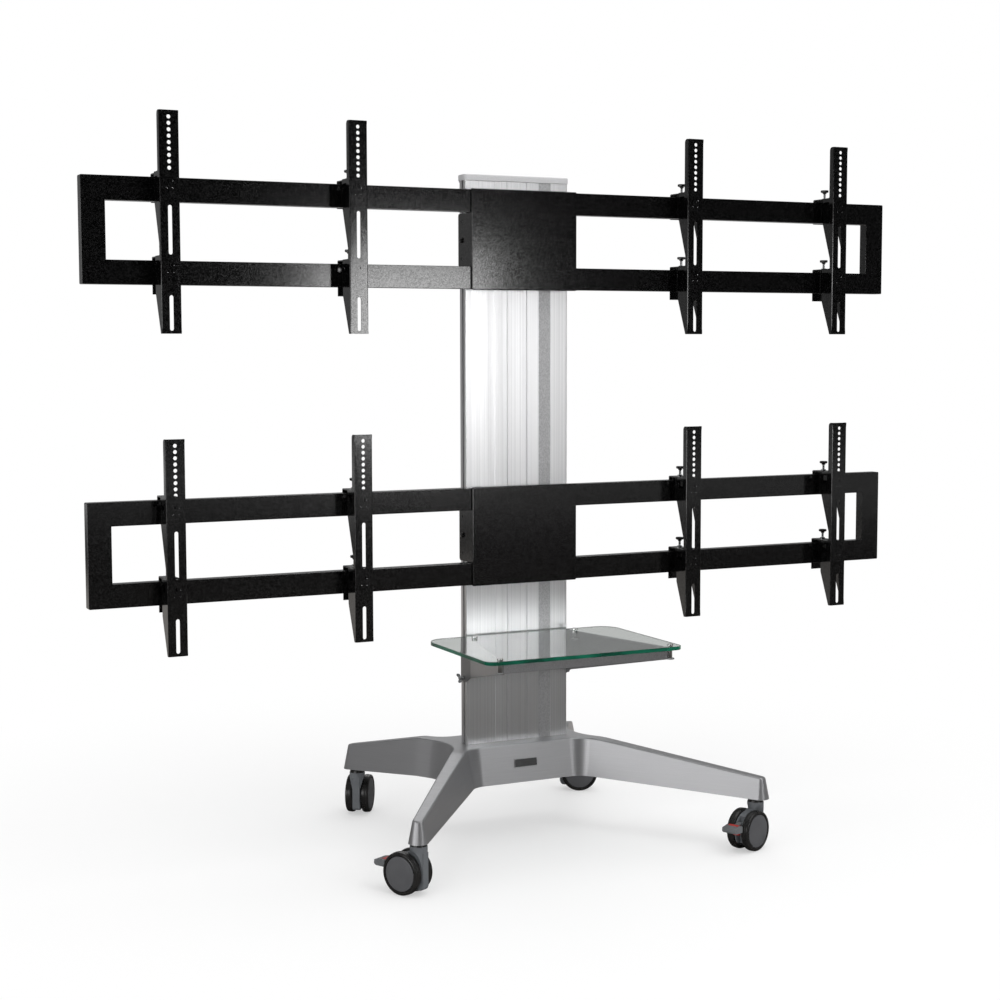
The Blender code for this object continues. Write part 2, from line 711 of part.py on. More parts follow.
def bracket_plan():
    """Plan of the sheet: back along the column's sides, out to the front corners, across the front."""
    inner = COLUMN_HALF + 0.0009
    sheet = BRACKET_SHEET
    bend = RAIL_FRONT + 0.014
    back = RAIL_FRONT + 0.066
    front = FRONT_POST - Vector((0.001, 0.001))
    outside = [(inner + sheet, back), (inner + sheet, bend), (front.x + sheet, front.y - sheet)]
    inside = [(front.x, front.y), (inner, bend), (inner, back)]
    mirrored_outside = [(-x, y) for x, y in reversed(outside)]
    mirrored_inside = [(-x, y) for x, y in reversed(inside)]
    return outside + mirrored_outside + mirrored_inside + inside


def shelf_bracket():
    top = SHELF_TOP - GLASS - GAP
    apron_bottom = SHELF_TOP - GLASS - APRON_HEIGHT
    side_bottom = 0.370
    ear_bottom = SHELF_SCREW_HEIGHT - 0.009
    folded = upright_solid([bracket_plan()], ear_bottom, top)
    bend = RAIL_FRONT + 0.014
    ear_front = SLOT_CENTRE - 0.009
    below = [(FRONT_POST.y - 0.05, ear_bottom - 0.02), (FRONT_POST.y - 0.05, apron_bottom),
             (FRONT_POST.y + 0.002, apron_bottom), (bend, side_bottom), (ear_front, side_bottom),
             (ear_front, ear_bottom - 0.02)]
    wedge = flat_solid([below], 0.6, ALONG_X)
    trimmed = carved(folded, [wedge])
    pads = []
    pockets = []
    for spot in post_places().values():
        pads.append(rod((spot.x, spot.y, apron_bottom), (spot.x, spot.y, apron_bottom + 0.0025), 0.0095, 12))
        pockets.append(rod((spot.x, spot.y, apron_bottom + 0.0025), (spot.x, spot.y, top + 0.01),
                           POST_RADIUS + 0.0006, 12))
    screw_holes = [rod((-0.2, SLOT_CENTRE, SHELF_SCREW_HEIGHT), (0.2, SLOT_CENTRE, SHELF_SCREW_HEIGHT),
                       0.0034, 10)]
    solid = carved(joined(trimmed, [gathered(pads)]), [gathered(pockets + screw_holes)])
    place(solid, "shelf_bracket", BRACKET_METAL)
    return apron_bottom + 0.0025


def shelf_posts(seat):
    """Each post stands on the bracket, passes a hole in the glass and ends in a round cap."""
    foot = seat + GAP
    glass_low = SHELF_TOP - GLASS - GAP
    profile = [(0, SHELF_TOP + 0.0055), (0.0060, SHELF_TOP + 0.0055), (0.0068, SHELF_TOP + 0.0045),
               (0.0068, SHELF_TOP + GAP), (0.0036, SHELF_TOP + GAP), (0.0036, glass_low),
               (POST_RADIUS, glass_low), (POST_RADIUS, foot), (0, foot)]
    post = turned_solid(profile, 12)
    for word, spot in post_places().items():
        place(post, f"shelf_post_{word}", POLISHED, (spot.x, spot.y, 0))


def shelf_clamp_screws():
    """A wing screw through each cheek of the bracket, into the column's guide slot."""
    cheek = COLUMN_HALF + 0.0009 + BRACKET_SHEET
    for side, word in ((-1, "left"), (1, "right")):
        shank = rod((side * (COLUMN_HALF - 0.007), 0, 0), (side * (cheek + 0.002), 0, 0), 0.0028, 10)
        hub = rod((side * (cheek + GAP), 0, 0), (side * (cheek + 0.009), 0, 0), 0.0055, 12)
        wings = []
        for lean in (-1, 1):
            reach = sorted((side * (cheek + 0.005), side * (cheek + 0.014)))
            span = sorted((lean * 0.003, lean * 0.012))
            wings.append(box((reach[0], span[0], -0.0012), (reach[1], span[1], 0.0012)))
        solid = joined(hub, [shank, *wings])
        solid.transform(Matrix.Rotation(math.radians(55), 4, "X"))
        place(solid, f"shelf_clamp_screw_{word}", BLACK_COAT, (0, SLOT_CENTRE, SHELF_SCREW_HEIGHT))


def shelf():
    shelf_glass()
    seat = shelf_bracket()
    shelf_posts(seat)
    shelf_clamp_screws()


# The casters: a fork between twin wheels, swivelling on a pin in the leg's end.
PEDAL_PIVOT = (TRAIL + 0.030, 0.060)
PEDAL_ARM_HALF = 0.0058
AXLE_RADIUS = 0.004


def fork_mesh(braked):
    """Fork at the origin: +X is the way the wheels trail, Z is the swivel axis."""
    half = WHEEL_INNER_FACE - 0.0005
    centre = (TRAIL, WHEEL_RADIUS)
    front = -CASTER_STEM_RADIUS
    web_radius = 0.040
    web_outline = [(front, 0.092), (front, 0.014), (front + 0.008, 0.0065)]
    web_outline += arc(centre, web_radius, -90, 72, 9)
    web_outline.append((0.012, 0.092))
    web = flat_solid([web_outline], 2 * half, ALONG_Y)
    collar_top = LEG_END_UNDERSIDE - GAP
    neck = rod((0, 0, 0.048), (0, 0, collar_top), CASTER_STEM_RADIUS, 20)
    room = []
    for side in (-1, 1):
        room.append(rod((TRAIL, side * half, WHEEL_RADIUS), (TRAIL, side * 0.06, WHEEL_RADIUS),
                        WHEEL_RADIUS + 0.0018, 24))
    neck = carved(neck, room)
    pin = rod((0, 0, 0.100), (0, 0, PIN_TOP), PIN_RADIUS, 12)
    axle_half = WHEEL_INNER_FACE + 0.0115
    axle = rod((TRAIL, -axle_half, WHEEL_RADIUS), (TRAIL, axle_half, WHEEL_RADIUS), AXLE_RADIUS, 12)
    fork = joined(web, [neck, pin, axle])
    if not braked:
        return fork
    slot_half = PEDAL_ARM_HALF + 0.0005
    x, z = PEDAL_PIVOT
    slot = box((x - 0.0085, -slot_half, z - 0.018), (x + 0.03, slot_half, z + 0.030))
    hinge_pin = rod((x, -half + 0.001, z), (x, half - 0.001, z), 0.002, 10)
    return joined(carved(fork, [slot]), [hinge_pin])


def wheel_mesh():
    """Wheel turned about Z with its inner face at z = 0 and a blind bore for the axle."""
    sides = 20
    tread = WHEEL_RADIUS / math.cos(math.pi / sides)
    width = WHEEL_WIDTH
    profile = [(0, width - 0.0005), (0.0370, width - 0.0010), (0.0380, width - 0.0025),
               (0.0405, width - 0.0010), (0.0438, width - 0.0042), (tread, width - 0.0080), (tread, 0.0050),
               (0.0425, 0), (0.0045, 0), (0.0045, 0.0125), (0, 0.0125)]
    solid = turned_solid(profile, sides)
    solid.transform(Matrix.Rotation(math.pi / sides, 4, "Z"))
    return solid


def pedal_mesh():
    """Brake pedal at its hinge: an arm between the wheels and a broad toe pad behind them."""
    toe_start = WHEEL_RADIUS + TRAIL + 0.0025 - PEDAL_PIVOT[0]
    arm_outline = arc((0, 0), 0.0075, 90, 270, 4) + [(toe_start + 0.002, -0.0085), (toe_start + 0.002, 0.0045)]
    arm = flat_solid([arm_outline], 2 * PEDAL_ARM_HALF, ALONG_Y)
    toe_outline = [(toe_start, -0.009), (toe_start + 0.022, -0.008), (toe_start + 0.028, -0.002),
                   (toe_start + 0.027, 0.002), (toe_start + 0.008, 0.006), (toe_start, 0.0045)]
    toe = flat_solid([toe_outline], 0.036, ALONG_Y)
    bore = rod((0, -0.02, 0), (0, 0.02, 0), 0.0025, 10)
    return carved(joined(arm, [rounded_edges(toe, 0.001)]), [bore])


def caster(word, stem, heading, braked, fork, wheel, pedal):
    turn = math.radians(heading)
    trailing = Vector((math.cos(turn), math.sin(turn), 0))
    across = Vector((-math.sin(turn), math.cos(turn), 0))
    foot = Vector((stem.x, stem.y, 0))
    place(fork, f"caster_fork_{word}", HOUSING_PLASTIC, foot, turn)
    for side, hand in ((-1, "a"), (1, "b")):
        centre = foot + trailing * TRAIL + across * side * WHEEL_INNER_FACE
        rolling = place(wheel, f"caster_wheel_{word}_{hand}", WHEEL_RUBBER,
                        (centre.x, centre.y, WHEEL_RADIUS))
        rolling.rotation_euler = (-side * math.pi / 2, 0, turn)
    if braked:
        hinge = foot + trailing * PEDAL_PIVOT[0]
        place(pedal, f"brake_pedal_{word}", PEDAL_PLASTIC, (hinge.x, hinge.y, PEDAL_PIVOT[1]), turn)


def casters():
    plain_fork = fork_mesh(False)
    braked_fork = fork_mesh(True)
    wheel = wheel_mesh()
    pedal = pedal_mesh()
    for word, heading in CASTER_HEADINGS.items():
        braked = word.startswith("front")
        corner = FRONT_STEM if braked else REAR_STEM
        side = -1 if word.endswith("left") else 1
        stem = Vector((side * corner.x, corner.y))
        caster(word, stem, heading, braked, braked_fork if braked else plain_fork, wheel, pedal)


base_casting()
name_plate()
column()
cross_frame("upper", UPPER_FRAME_TOP)
cross_frame("lower", LOWER_FRAME_TOP)
arms()
shelf()
casters()
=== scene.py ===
# %% [markdown]
# # A rolling stand for four screens, finished for the camera
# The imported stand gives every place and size: two cross frames on a wide column, eight
# hooked screen arms, a glass shelf and a cast base on casters. This lesson dresses it. Each
# visible part is remade with the roundings, folds, holes and fine lines of the real one, and
# each finish is mixed from procedural nodes. The frame comes first, because everything
# else is placed from its boxes.

# %% Load the frame
import json
import math

import bmesh
import bpy
from mathutils import Matrix, Vector


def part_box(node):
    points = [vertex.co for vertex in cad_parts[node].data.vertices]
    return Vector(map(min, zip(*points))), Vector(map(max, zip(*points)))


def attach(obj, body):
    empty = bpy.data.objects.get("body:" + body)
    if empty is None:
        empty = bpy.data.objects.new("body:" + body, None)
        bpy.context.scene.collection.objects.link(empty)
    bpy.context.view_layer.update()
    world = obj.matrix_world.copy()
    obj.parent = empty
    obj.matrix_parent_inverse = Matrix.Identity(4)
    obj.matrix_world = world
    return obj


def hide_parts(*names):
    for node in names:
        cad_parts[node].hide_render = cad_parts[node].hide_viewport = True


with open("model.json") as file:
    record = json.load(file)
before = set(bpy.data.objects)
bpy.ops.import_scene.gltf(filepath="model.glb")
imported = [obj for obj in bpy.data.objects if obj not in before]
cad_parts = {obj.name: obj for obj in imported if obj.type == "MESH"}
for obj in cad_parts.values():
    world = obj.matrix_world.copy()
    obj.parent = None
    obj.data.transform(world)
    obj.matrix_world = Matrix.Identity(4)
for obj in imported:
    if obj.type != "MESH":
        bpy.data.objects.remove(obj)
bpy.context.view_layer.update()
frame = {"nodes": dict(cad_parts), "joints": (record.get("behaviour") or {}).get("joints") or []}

# %% [markdown]
# A few lines of the stand lead all the others: the front plane of the rails, the front plane
# of the arms and the tops of the two frames. They could be typed in again, but they are read
# from the frame, so the dressed pieces land on the solids without any fitting.

# %% Leading lines
wing_low, wing_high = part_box("upper_left_wing")
RAIL_FRONT, RAIL_BACK = wing_low.y, wing_high.y
FRAME_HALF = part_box("upper_right_wing")[1].x
FRAME_TOPS = {row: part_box(f"{row}_left_wing")[1].z for row in ("upper", "lower")}
FRAME_HEIGHT = FRAME_TOPS["upper"] - wing_low.z
TUBE_HEIGHT = 0.050
arm_low, arm_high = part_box("upper_arm_1")
ARM_FRONT, HOOK_REAR = arm_low.y, arm_high.y
ARM_LENGTH = arm_high.z - arm_low.z
ARM_WIDTH = arm_high.x - arm_low.x
BASE_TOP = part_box("base_casting")[1].z
COLUMN_LOW, COLUMN_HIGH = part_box("column_extrusion")
COLUMN_HALF = COLUMN_HIGH.x
SLOT_CENTRE = COLUMN_LOW.y + 0.013
print("rails at y =", round(RAIL_FRONT, 4), "frames top at", FRAME_TOPS)

# %% [markdown]
# ## Drawing outlines
# Sheet metal starts as a flat outline whose corners are rounded by the bend or the punch. The
# corners of a finished solid could be rounded one by one, but an outline with a radius at each
# corner is easier to read and change. The outline then becomes a solid along any axis.

# %% Outlines
def fillet(before, corner, after, radius, steps):
    """Arc points that round one corner."""
    back = (before - corner).normalized()
    ahead = (after - corner).normalized()
    half = back.angle(ahead) / 2
    centre = corner + (back + ahead).normalized() * radius / math.sin(half)
    first = corner + back * radius / math.tan(half) - centre
    turn = math.pi - 2 * half
    if back.x * ahead.y - back.y * ahead.x > 0:
        turn = -turn
    return [centre + Matrix.Rotation(turn * i / steps, 2) @ first for i in range(steps + 1)]


def outline(corners, steps=5):
    """A closed outline from (u, v, radius) corners."""
    places = [Vector(corner[:2]) for corner in corners]
    points = []
    for i, corner in enumerate(corners):
        if corner[2] > 0:
            after = places[(i + 1) % len(places)]
            points += fillet(places[i - 1], places[i], after, corner[2], steps)
        else:
            points.append(places[i])
    return points


def panel(start, end, radius):
    """A rectangle between two opposite corners, with the same small round at all four."""
    return outline([(start[0], start[1], radius), (end[0], start[1], radius),
                    (end[0], end[1], radius), (start[0], end[1], radius)], 2)


def arc(centre, radius, start, end, steps):
    """Points on an arc between two angles in degrees."""
    u, v = centre
    angles = [math.radians(start + (end - start) * i / steps) for i in range(steps + 1)]
    return [Vector((u + radius * math.cos(a), v + radius * math.sin(a))) for a in angles]


def ring(u, v, radius, sides=20):
    """A round hole."""
    return arc((u, v), radius, 0, 360 - 360 / sides, sides - 1)


def slot_ring(u, low, high, width):
    """A long hole with round ends."""
    radius = width / 2
    return arc((u, high - radius), radius, 0, 180, 8) + arc((u, low + radius), radius, 180, 360, 8)


print("a ring of", len(ring(0, 0, 1)), "points and a slot of", len(slot_ring(0, 0, 3, 1)))

# %% [markdown]
# ## From outline to metal
# A solid bar or plate is one face pulled straight out. A punched sheet needs holes. Booleans
# could cut them, but they leave slivers, so its loops are filled together and the filled face
# is pulled out afterwards. Edges of painted metal are never sharp, so each shape gets a small
# bevel that catches the light.

# %% Solids from outlines
def outward(bm):
    """Turn every face of a closed shape outward."""
    bmesh.ops.recalc_face_normals(bm, faces=bm.faces)
    return bm


def new_verts(grown):
    """The points that an extrusion made."""
    return [item for item in grown["geom"] if isinstance(item, bmesh.types.BMVert)]


def facing(u, v, w, along):
    """A point of a flat drawing, w metres up the axis that the drawing faces."""
    return Vector({"X": (w, u, v), "Y": (u, w, v), "Z": (u, v, w)}[along])


def pull(bm, reach, along):
    """Pull the flat faces of a drawing out into a solid."""
    grown = bmesh.ops.extrude_face_region(bm, geom=bm.faces[:])
    bmesh.ops.translate(bm, vec=facing(0, 0, reach, along), verts=new_verts(grown))
    return outward(bm)


def bar(points, start, end, along="Z"):
    """One outline pulled from start to end."""
    bm = bmesh.new()
    bm.faces.new([bm.verts.new(facing(u, v, start, along)) for u, v in points])
    return pull(bm, end - start, along)


def sheet(points, holes, start, end, along="Z"):
    """An outline with holes, pulled from start to end."""
    bm = bmesh.new()
    for loop in [points, *holes]:
        verts = [bm.verts.new(facing(u, v, start, along)) for u, v in loop]
        for here, after in zip(verts, verts[1:] + verts[:1]):
            bm.edges.new((here, after))
    bmesh.ops.triangle_fill(bm, use_beauty=True, use_dissolve=False, edges=bm.edges[:])
    return pull(bm, end - start, along)


def block(low, high):
    """A box between two corners."""
    bm = bmesh.new()
    bmesh.ops.create_cube(bm, size=1)
    low, high = Vector(low), Vector(high)
    bmesh.ops.scale(bm, vec=high - low, verts=bm.verts)
    bmesh.ops.translate(bm, vec=(low + high) / 2, verts=bm.verts)
    return bm


def hexagon(radius, height):
    """A six-sided prism about the origin."""
    bm = bmesh.new()
    bmesh.ops.create_cone(bm, cap_ends=True, segments=6, radius1=radius, radius2=radius,
                          depth=height)
    return bm


def turned(profile, steps):
    """Turn (radius, height) points about Z."""
    bm = bmesh.new()
    verts = [bm.verts.new((radius, 0, height)) for radius, height in profile]
    edges = [bm.edges.new(pair) for pair in zip(verts, verts[1:])]
    bmesh.ops.spin(bm, geom=verts + edges, cent=(0, 0, 0), axis=(0, 0, 1), dvec=(0, 0, 0),
                   angle=math.tau, steps=steps, use_merge=True, use_duplicate=False)
    bmesh.ops.remove_doubles(bm, verts=bm.verts, dist=1e-6)
    return outward(bm)


print("a hexagonal prism has", len(hexagon(1, 1).faces), "faces")

# %% [markdown]
# Every edge, finish and place is then set by one of a few helpers. Modifiers could round the
# edges later, but a bevel in the mesh lets a test choose which edges it takes, such as the
# fold of a sheet and not its ends.

# %% Rounding, painting and placing
def soften(bm, width, segments=2, over=60, chosen=None):
    """Bevel the edges that turn by more than an angle, or those of them that a test picks."""
    edges = [edge for edge in bm.edges if edge.calc_face_angle(0) > math.radians(over)]
    if chosen:
        edges = [edge for edge in edges if chosen(edge)]
    bmesh.ops.bevel(bm, geom=edges, offset=width, offset_type="OFFSET", segments=segments,
                    profile=0.5, affect="EDGES", clamp_overlap=True, material=-1)
    bmesh.ops.remove_doubles(bm, verts=bm.verts, dist=2e-6)
    return bm


def painted(bm, index, test=None):
    """Give the faces that pass a test one of the piece's finishes."""
    for face in bm.faces:
        if test is None or test(face):
            face.material_index = index
    return bm


def together(*shapes):
    """Several shapes as one."""
    whole = bmesh.new()
    for shape in shapes:
        mesh = bpy.data.meshes.new("shape")
        shape.to_mesh(mesh)
        shape.free()
        whole.from_mesh(mesh)
        bpy.data.meshes.remove(mesh)
    return whole


def rotation(degrees, axis):
    return Matrix.Rotation(math.radians(degrees), 4, axis)


def placing(x, y, z):
    return Matrix.Translation((x, y, z))


def moved(bm, *steps):
    """Take a shape through rotations and placings, one after the other."""
    for matrix in steps:
        bm.transform(matrix)
    return bm


print("with its edges rounded it has", len(soften(hexagon(1, 1), 0.1, over=40).faces))

# %% [markdown]
# A finished shape becomes an object that sits at the origin, rides on its body and stands for
# its CAD node. Splitting edges would keep big faces flat too, but normals weighted by face
# area do it without opening the mesh.

# %% Finished pieces
def finished(name, bm, finishes, body, node, smooth=38):
    """Hand a shape over as a named piece that stands for a node of the stand."""
    mesh = bpy.data.meshes.new(name)
    bm.to_mesh(mesh)
    bm.free()
    for finish in finishes:
        mesh.materials.append(finish)
    mesh.shade_smooth()
    mesh.set_sharp_from_angle(angle=math.radians(smooth))
    piece = bpy.data.objects.new(name, mesh)
    bpy.context.scene.collection.objects.link(piece)
    weighted = piece.modifiers.new("weighted", "WEIGHTED_NORMAL")
    weighted.keep_sharp = True
    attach(piece, body)
    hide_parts(node)


# %% [markdown]
# ## Mixing finishes
# Every finish is one Principled shader whose constants sit on its own sockets, and noise in
# object space that shifts its colour, roughness and relief a little. Pictures of metal could
# be wrapped round the pieces, but noise needs no unwrapping and never repeats. Stretching it
# along one axis makes brushing lines.

# %% Node helpers
def add_node(tree, kind, inputs=None, operation=None):
    """A node whose inputs are set to values or linked to other nodes' outputs."""
    node = tree.nodes.new(kind)
    if operation:
        node.operation = operation
    for socket, value in (inputs or {}).items():
        if isinstance(value, bpy.types.NodeSocket):
            tree.links.new(value, node.inputs[socket])
        else:
            node.inputs[socket].default_value = value
    return node


def new_finish(name, colour, roughness, metallic=0.0, more=None):
    """A material with the constants set on its shader."""
    made = bpy.data.materials.new(name)
    made.use_nodes = True
    sockets = made.node_tree.nodes["Principled BSDF"].inputs
    constants = {"Base Color": (*colour, 1), "Roughness": roughness, "Metallic": metallic}
    for socket, value in {**constants, **(more or {})}.items():
        sockets[socket].default_value = value
    print("finish", name)
    return made


def grain(made, scale, stretch=(1, 1, 1), detail=3.0):
    """Noise in object space, finer along the axes with a larger stretch."""
    tree = made.node_tree
    where = add_node(tree, "ShaderNodeTexCoord").outputs["Object"]
    mapped = add_node(tree, "ShaderNodeMapping", {"Vector": where, "Scale": stretch})
    noise = {"Vector": mapped.outputs["Vector"], "Scale": scale, "Detail": detail}
    return add_node(tree, "ShaderNodeTexNoise", noise).outputs["Fac"]


def speckle(made, scale):
    """A random grey for each tiny cell of the surface."""
    tree = made.node_tree
    where = add_node(tree, "ShaderNodeTexCoord").outputs["Object"]
    cells = add_node(tree, "ShaderNodeTexVoronoi", {"Vector": where, "Scale": scale})
    split = add_node(tree, "ShaderNodeSeparateColor", {"Color": cells.outputs["Color"]})
    return split.outputs["Red"]


# %% [markdown]
# A noise is only a grey between 0 and 1. It becomes a finish when it is stretched to the range
# that a socket needs. Mixing two whole shaders by it would do as well, but moving the numbers
# of one shader is lighter and carries over to other programs.

# %% From noise to finish
def ranged(tree, factor, start, end, low=0.0, high=1.0, course="LINEAR"):
    """A number that goes from low to high while a factor goes from start to end."""
    limits = {"From Min": start, "From Max": end, "To Min": low, "To Max": high}
    reach = add_node(tree, "ShaderNodeMapRange", {"Value": factor, **limits})
    reach.interpolation_type = course
    return reach.outputs["Result"]


def feed(made, socket, output):
    """Let a node's output run one of the shader's sockets."""
    made.node_tree.links.new(output, made.node_tree.nodes["Principled BSDF"].inputs[socket])


def varied(made, socket, factor, low, high, start=0.3, end=0.7):
    """Let noise move a socket between two values."""
    feed(made, socket, ranged(made.node_tree, factor, start, end, low, high))


def tinted(made, factor, dark, light, start=0.3, end=0.7):
    """Colour that follows noise from a dark to a light tone."""
    ramp = add_node(made.node_tree, "ShaderNodeValToRGB", {"Fac": factor})
    for stop, place, tone in zip(ramp.color_ramp.elements, (start, end), (dark, light)):
        stop.position = place
        stop.color = (*tone, 1)
    feed(made, "Base Color", ramp.outputs["Color"])


def relief(made, factor, depth, strength=1.0):
    """Fine relief, given as its real depth in metres."""
    bump = {"Height": factor, "Distance": depth, "Strength": strength}
    feed(made, "Normal", add_node(made.node_tree, "ShaderNodeBump", bump).outputs["Normal"])


# %% [markdown]
# The frames and arms are powder coated: black and satin, with a fine grain that sparkles where
# a lamp grazes it. Relief alone is lost at this distance, so each tiny cell of the coat also
# mirrors a little more or less than its neighbours. Its colour stays nearly black throughout,
# as on the real coat.

# %% Black powder coat
POWDER = new_finish("black_powder_coat", (0.0012, 0.0012, 0.0012), 0.20,
                    more={"Coat Weight": 0.22, "Coat Roughness": 0.12})
coat_grain = speckle(POWDER, 480)
tinted(POWDER, coat_grain, (0.0002, 0.0002, 0.0002), (0.0040, 0.0039, 0.0041), 0.2, 1.0)
varied(POWDER, "Roughness", coat_grain, 0.11, 0.17, 0.0, 1.0)
varied(POWDER, "Specular IOR Level", coat_grain, 0.35, 1.0, 0.0, 1.0)
relief(POWDER, grain(POWDER, 470, detail=1), 0.000020, 0.4)

# %% [markdown]
# The column is an aluminium extrusion: drawn through a die, so every mark on it runs up and
# down, then anodised to a satin silver. The noise is squeezed sideways and stretched upward.
# The sunk band on the right of its front is blasted, with a fine grain instead of lines, and
# painted darker as a dark reflection: the same sunk band on the left keeps the anodised finish.

# %% Anodised extrusion
ANODISED = new_finish("satin_anodised", (0.89, 0.89, 0.90), 0.36, 1.0)
draw_lines = grain(ANODISED, 330, (1, 1, 0.002), 3)
tinted(ANODISED, draw_lines, (0.83, 0.83, 0.84), (0.95, 0.95, 0.96), 0.35, 0.65)
varied(ANODISED, "Roughness", grain(ANODISED, 60, (1, 1, 0.004), 2), 0.33, 0.39)
relief(ANODISED, draw_lines, 0.00005, 0.5)

# Blasted finish of the right band, whose darker colour is painted reflection.
BLASTED_BAND_AND_REFLECTION = new_finish("blasted_band_and_painted_reflection", (0.54, 0.54, 0.55), 0.46, 0.9)
band_grain = grain(BLASTED_BAND_AND_REFLECTION, 420, (1, 1, 0.6), 1)
tinted(BLASTED_BAND_AND_REFLECTION, band_grain, (0.48, 0.48, 0.49), (0.64, 0.64, 0.65))
relief(BLASTED_BAND_AND_REFLECTION, band_grain, 0.00002, 0.3)

# %% [markdown]
# The cast base is brushed level before it is lacquered, so its lines run round every wall.
# An anisotropic shader would need a direction on every face. In this noise only height
# changes quickly, which draws the same lines on any wall.

# %% Brushed casting
CASTING = new_finish("brushed_silver_casting", (0.40, 0.40, 0.411), 0.36, 0.80)
level_lines = grain(CASTING, 12, (1, 1, 90), 3)
tinted(CASTING, level_lines, (0.38, 0.38, 0.39), (0.415, 0.415, 0.426))
varied(CASTING, "Roughness", grain(CASTING, 240, (1, 1, 3)), 0.35, 0.43)
relief(CASTING, level_lines, 0.00001, 0.3)

# %% [markdown]
# The shelf's bracket and wing screws are bead-blasted, the nuts, studs, threads and axles are
# bright zinc, and the posts of the shelf are polished. The column's cap is a light grey
# moulding. Such small pieces show little more than their tone, so one or two noises will do.

# %% Small metals and the cap
BLASTED = new_finish("satin_shelf_bracket", (0.42, 0.42, 0.43), 0.42, 1.0)
blast = grain(BLASTED, 500, detail=2)
tinted(BLASTED, blast, (0.36, 0.36, 0.37), (0.50, 0.50, 0.51))
relief(BLASTED, blast, 0.0001, 0.4)

ZINC = new_finish("bright_zinc", (0.78, 0.79, 0.80), 0.22, 1.0)
tinted(ZINC, grain(ZINC, 300), (0.68, 0.69, 0.70), (0.86, 0.87, 0.88))

POLISHED = new_finish("polished_posts", (0.80, 0.81, 0.80), 0.10, 1.0)
tinted(POLISHED, grain(POLISHED, 120), (0.72, 0.73, 0.72), (0.86, 0.87, 0.86))
varied(POLISHED, "Roughness", grain(POLISHED, 90), 0.06, 0.16)

CAP = new_finish("light_grey_cap", (0.50, 0.50, 0.51), 0.42)
cap_grain = grain(CAP, 650, detail=2)
tinted(CAP, cap_grain, (0.47, 0.47, 0.48), (0.55, 0.55, 0.56))
relief(CAP, cap_grain, 0.00015, 0.3)

# %% [markdown]
# The shelf is float glass. Through its faces it is nearly clear, but its ground edge gathers
# the green of the whole depth. Absorption inside the glass could give that green, but slowly
# and with noise, so the edge is a finish of its own.

# %% Glass
GLASS_IOR = 1.50
GLASS = new_finish("clear_shelf_glass", (0.90, 0.96, 0.94), 0.0,
                   more={"Transmission Weight": 1.0, "IOR": GLASS_IOR})
tinted(GLASS, grain(GLASS, 6), (0.90, 0.955, 0.94), (0.93, 0.975, 0.96))

GLASS_EDGE = new_finish("green_glass_edge", (0.003, 0.10, 0.055), 0.12,
                        more={"Transmission Weight": 0.25, "IOR": GLASS_IOR})
tinted(GLASS_EDGE, grain(GLASS_EDGE, 18, (1, 1, 3)), (0.001, 0.045, 0.026), (0.006, 0.15, 0.085))

# %% [markdown]
# The casters are moulded: a dark blue-grey housing, darker hub caps and a grey pedal, whose
# tone drifts a little under a fine grain. They could be three separate mixtures, but one
# function keeps their grain alike. The tyres are soft black with a shifting gloss, and the same
# black paints the leg's shadow on the collars; the pedal has red marks. The name plate's dark
# sheet is mixed here too.

# %% Caster plastics and the name plate
def moulding(name, colour, roughness, drift, dark, light, depth=0.00015):
    """A grained plastic whose tone drifts a little."""
    made = new_finish(name, colour, roughness)
    tinted(made, grain(made, drift), dark, light)
    relief(made, grain(made, 700, detail=2), depth, 0.35)
    return made


HOUSING = moulding("blue_grey_housing", (0.118, 0.126, 0.135), 0.40, 30,
                   (0.110, 0.117, 0.126), (0.128, 0.136, 0.145))
HUB = moulding("dark_hub_cap", (0.080, 0.081, 0.086), 0.42, 30,
               (0.074, 0.075, 0.080), (0.088, 0.089, 0.094), 0.00012)
PEDAL = moulding("grey_pedal", (0.12, 0.125, 0.13), 0.45, 40,
                 (0.11, 0.115, 0.12), (0.135, 0.14, 0.146))

# Black of the tyres, also painted on the collars as the shadow of the leg end.
TYRE_AND_LEG_SHADOW = new_finish("black_tyre_and_leg_shadow", (0.012, 0.012, 0.012), 0.28)
tinted(TYRE_AND_LEG_SHADOW, grain(TYRE_AND_LEG_SHADOW, 60), (0.009, 0.009, 0.009), (0.018, 0.017, 0.016))
varied(TYRE_AND_LEG_SHADOW, "Roughness", grain(TYRE_AND_LEG_SHADOW, 45), 0.22, 0.36)

RELEASE_RED = new_finish("red_release_mark", (0.38, 0.02, 0.015), 0.45)
tinted(RELEASE_RED, grain(RELEASE_RED, 90), (0.32, 0.015, 0.012), (0.45, 0.028, 0.02))

PLATE = new_finish("dark_name_plate", (0.022, 0.022, 0.023), 0.32)
tinted(PLATE, grain(PLATE, 200, (0.2, 1, 1)), (0.014, 0.014, 0.015), (0.034, 0.033, 0.034))
print(len(bpy.data.materials), "materials")

# %% [markdown]
# ## Cross frames
# Each wing is one loop of rectangular tube, mitred and ground at the corners. It could be
# three tubes joined, but the ground corners show no joint, so it is drawn as a flat U and
# pulled to the depth of the tube. Three bevel segments are enough for the highlight to run
# along its rounded edges.

# %% Wings
WING_GAP = 0.0005


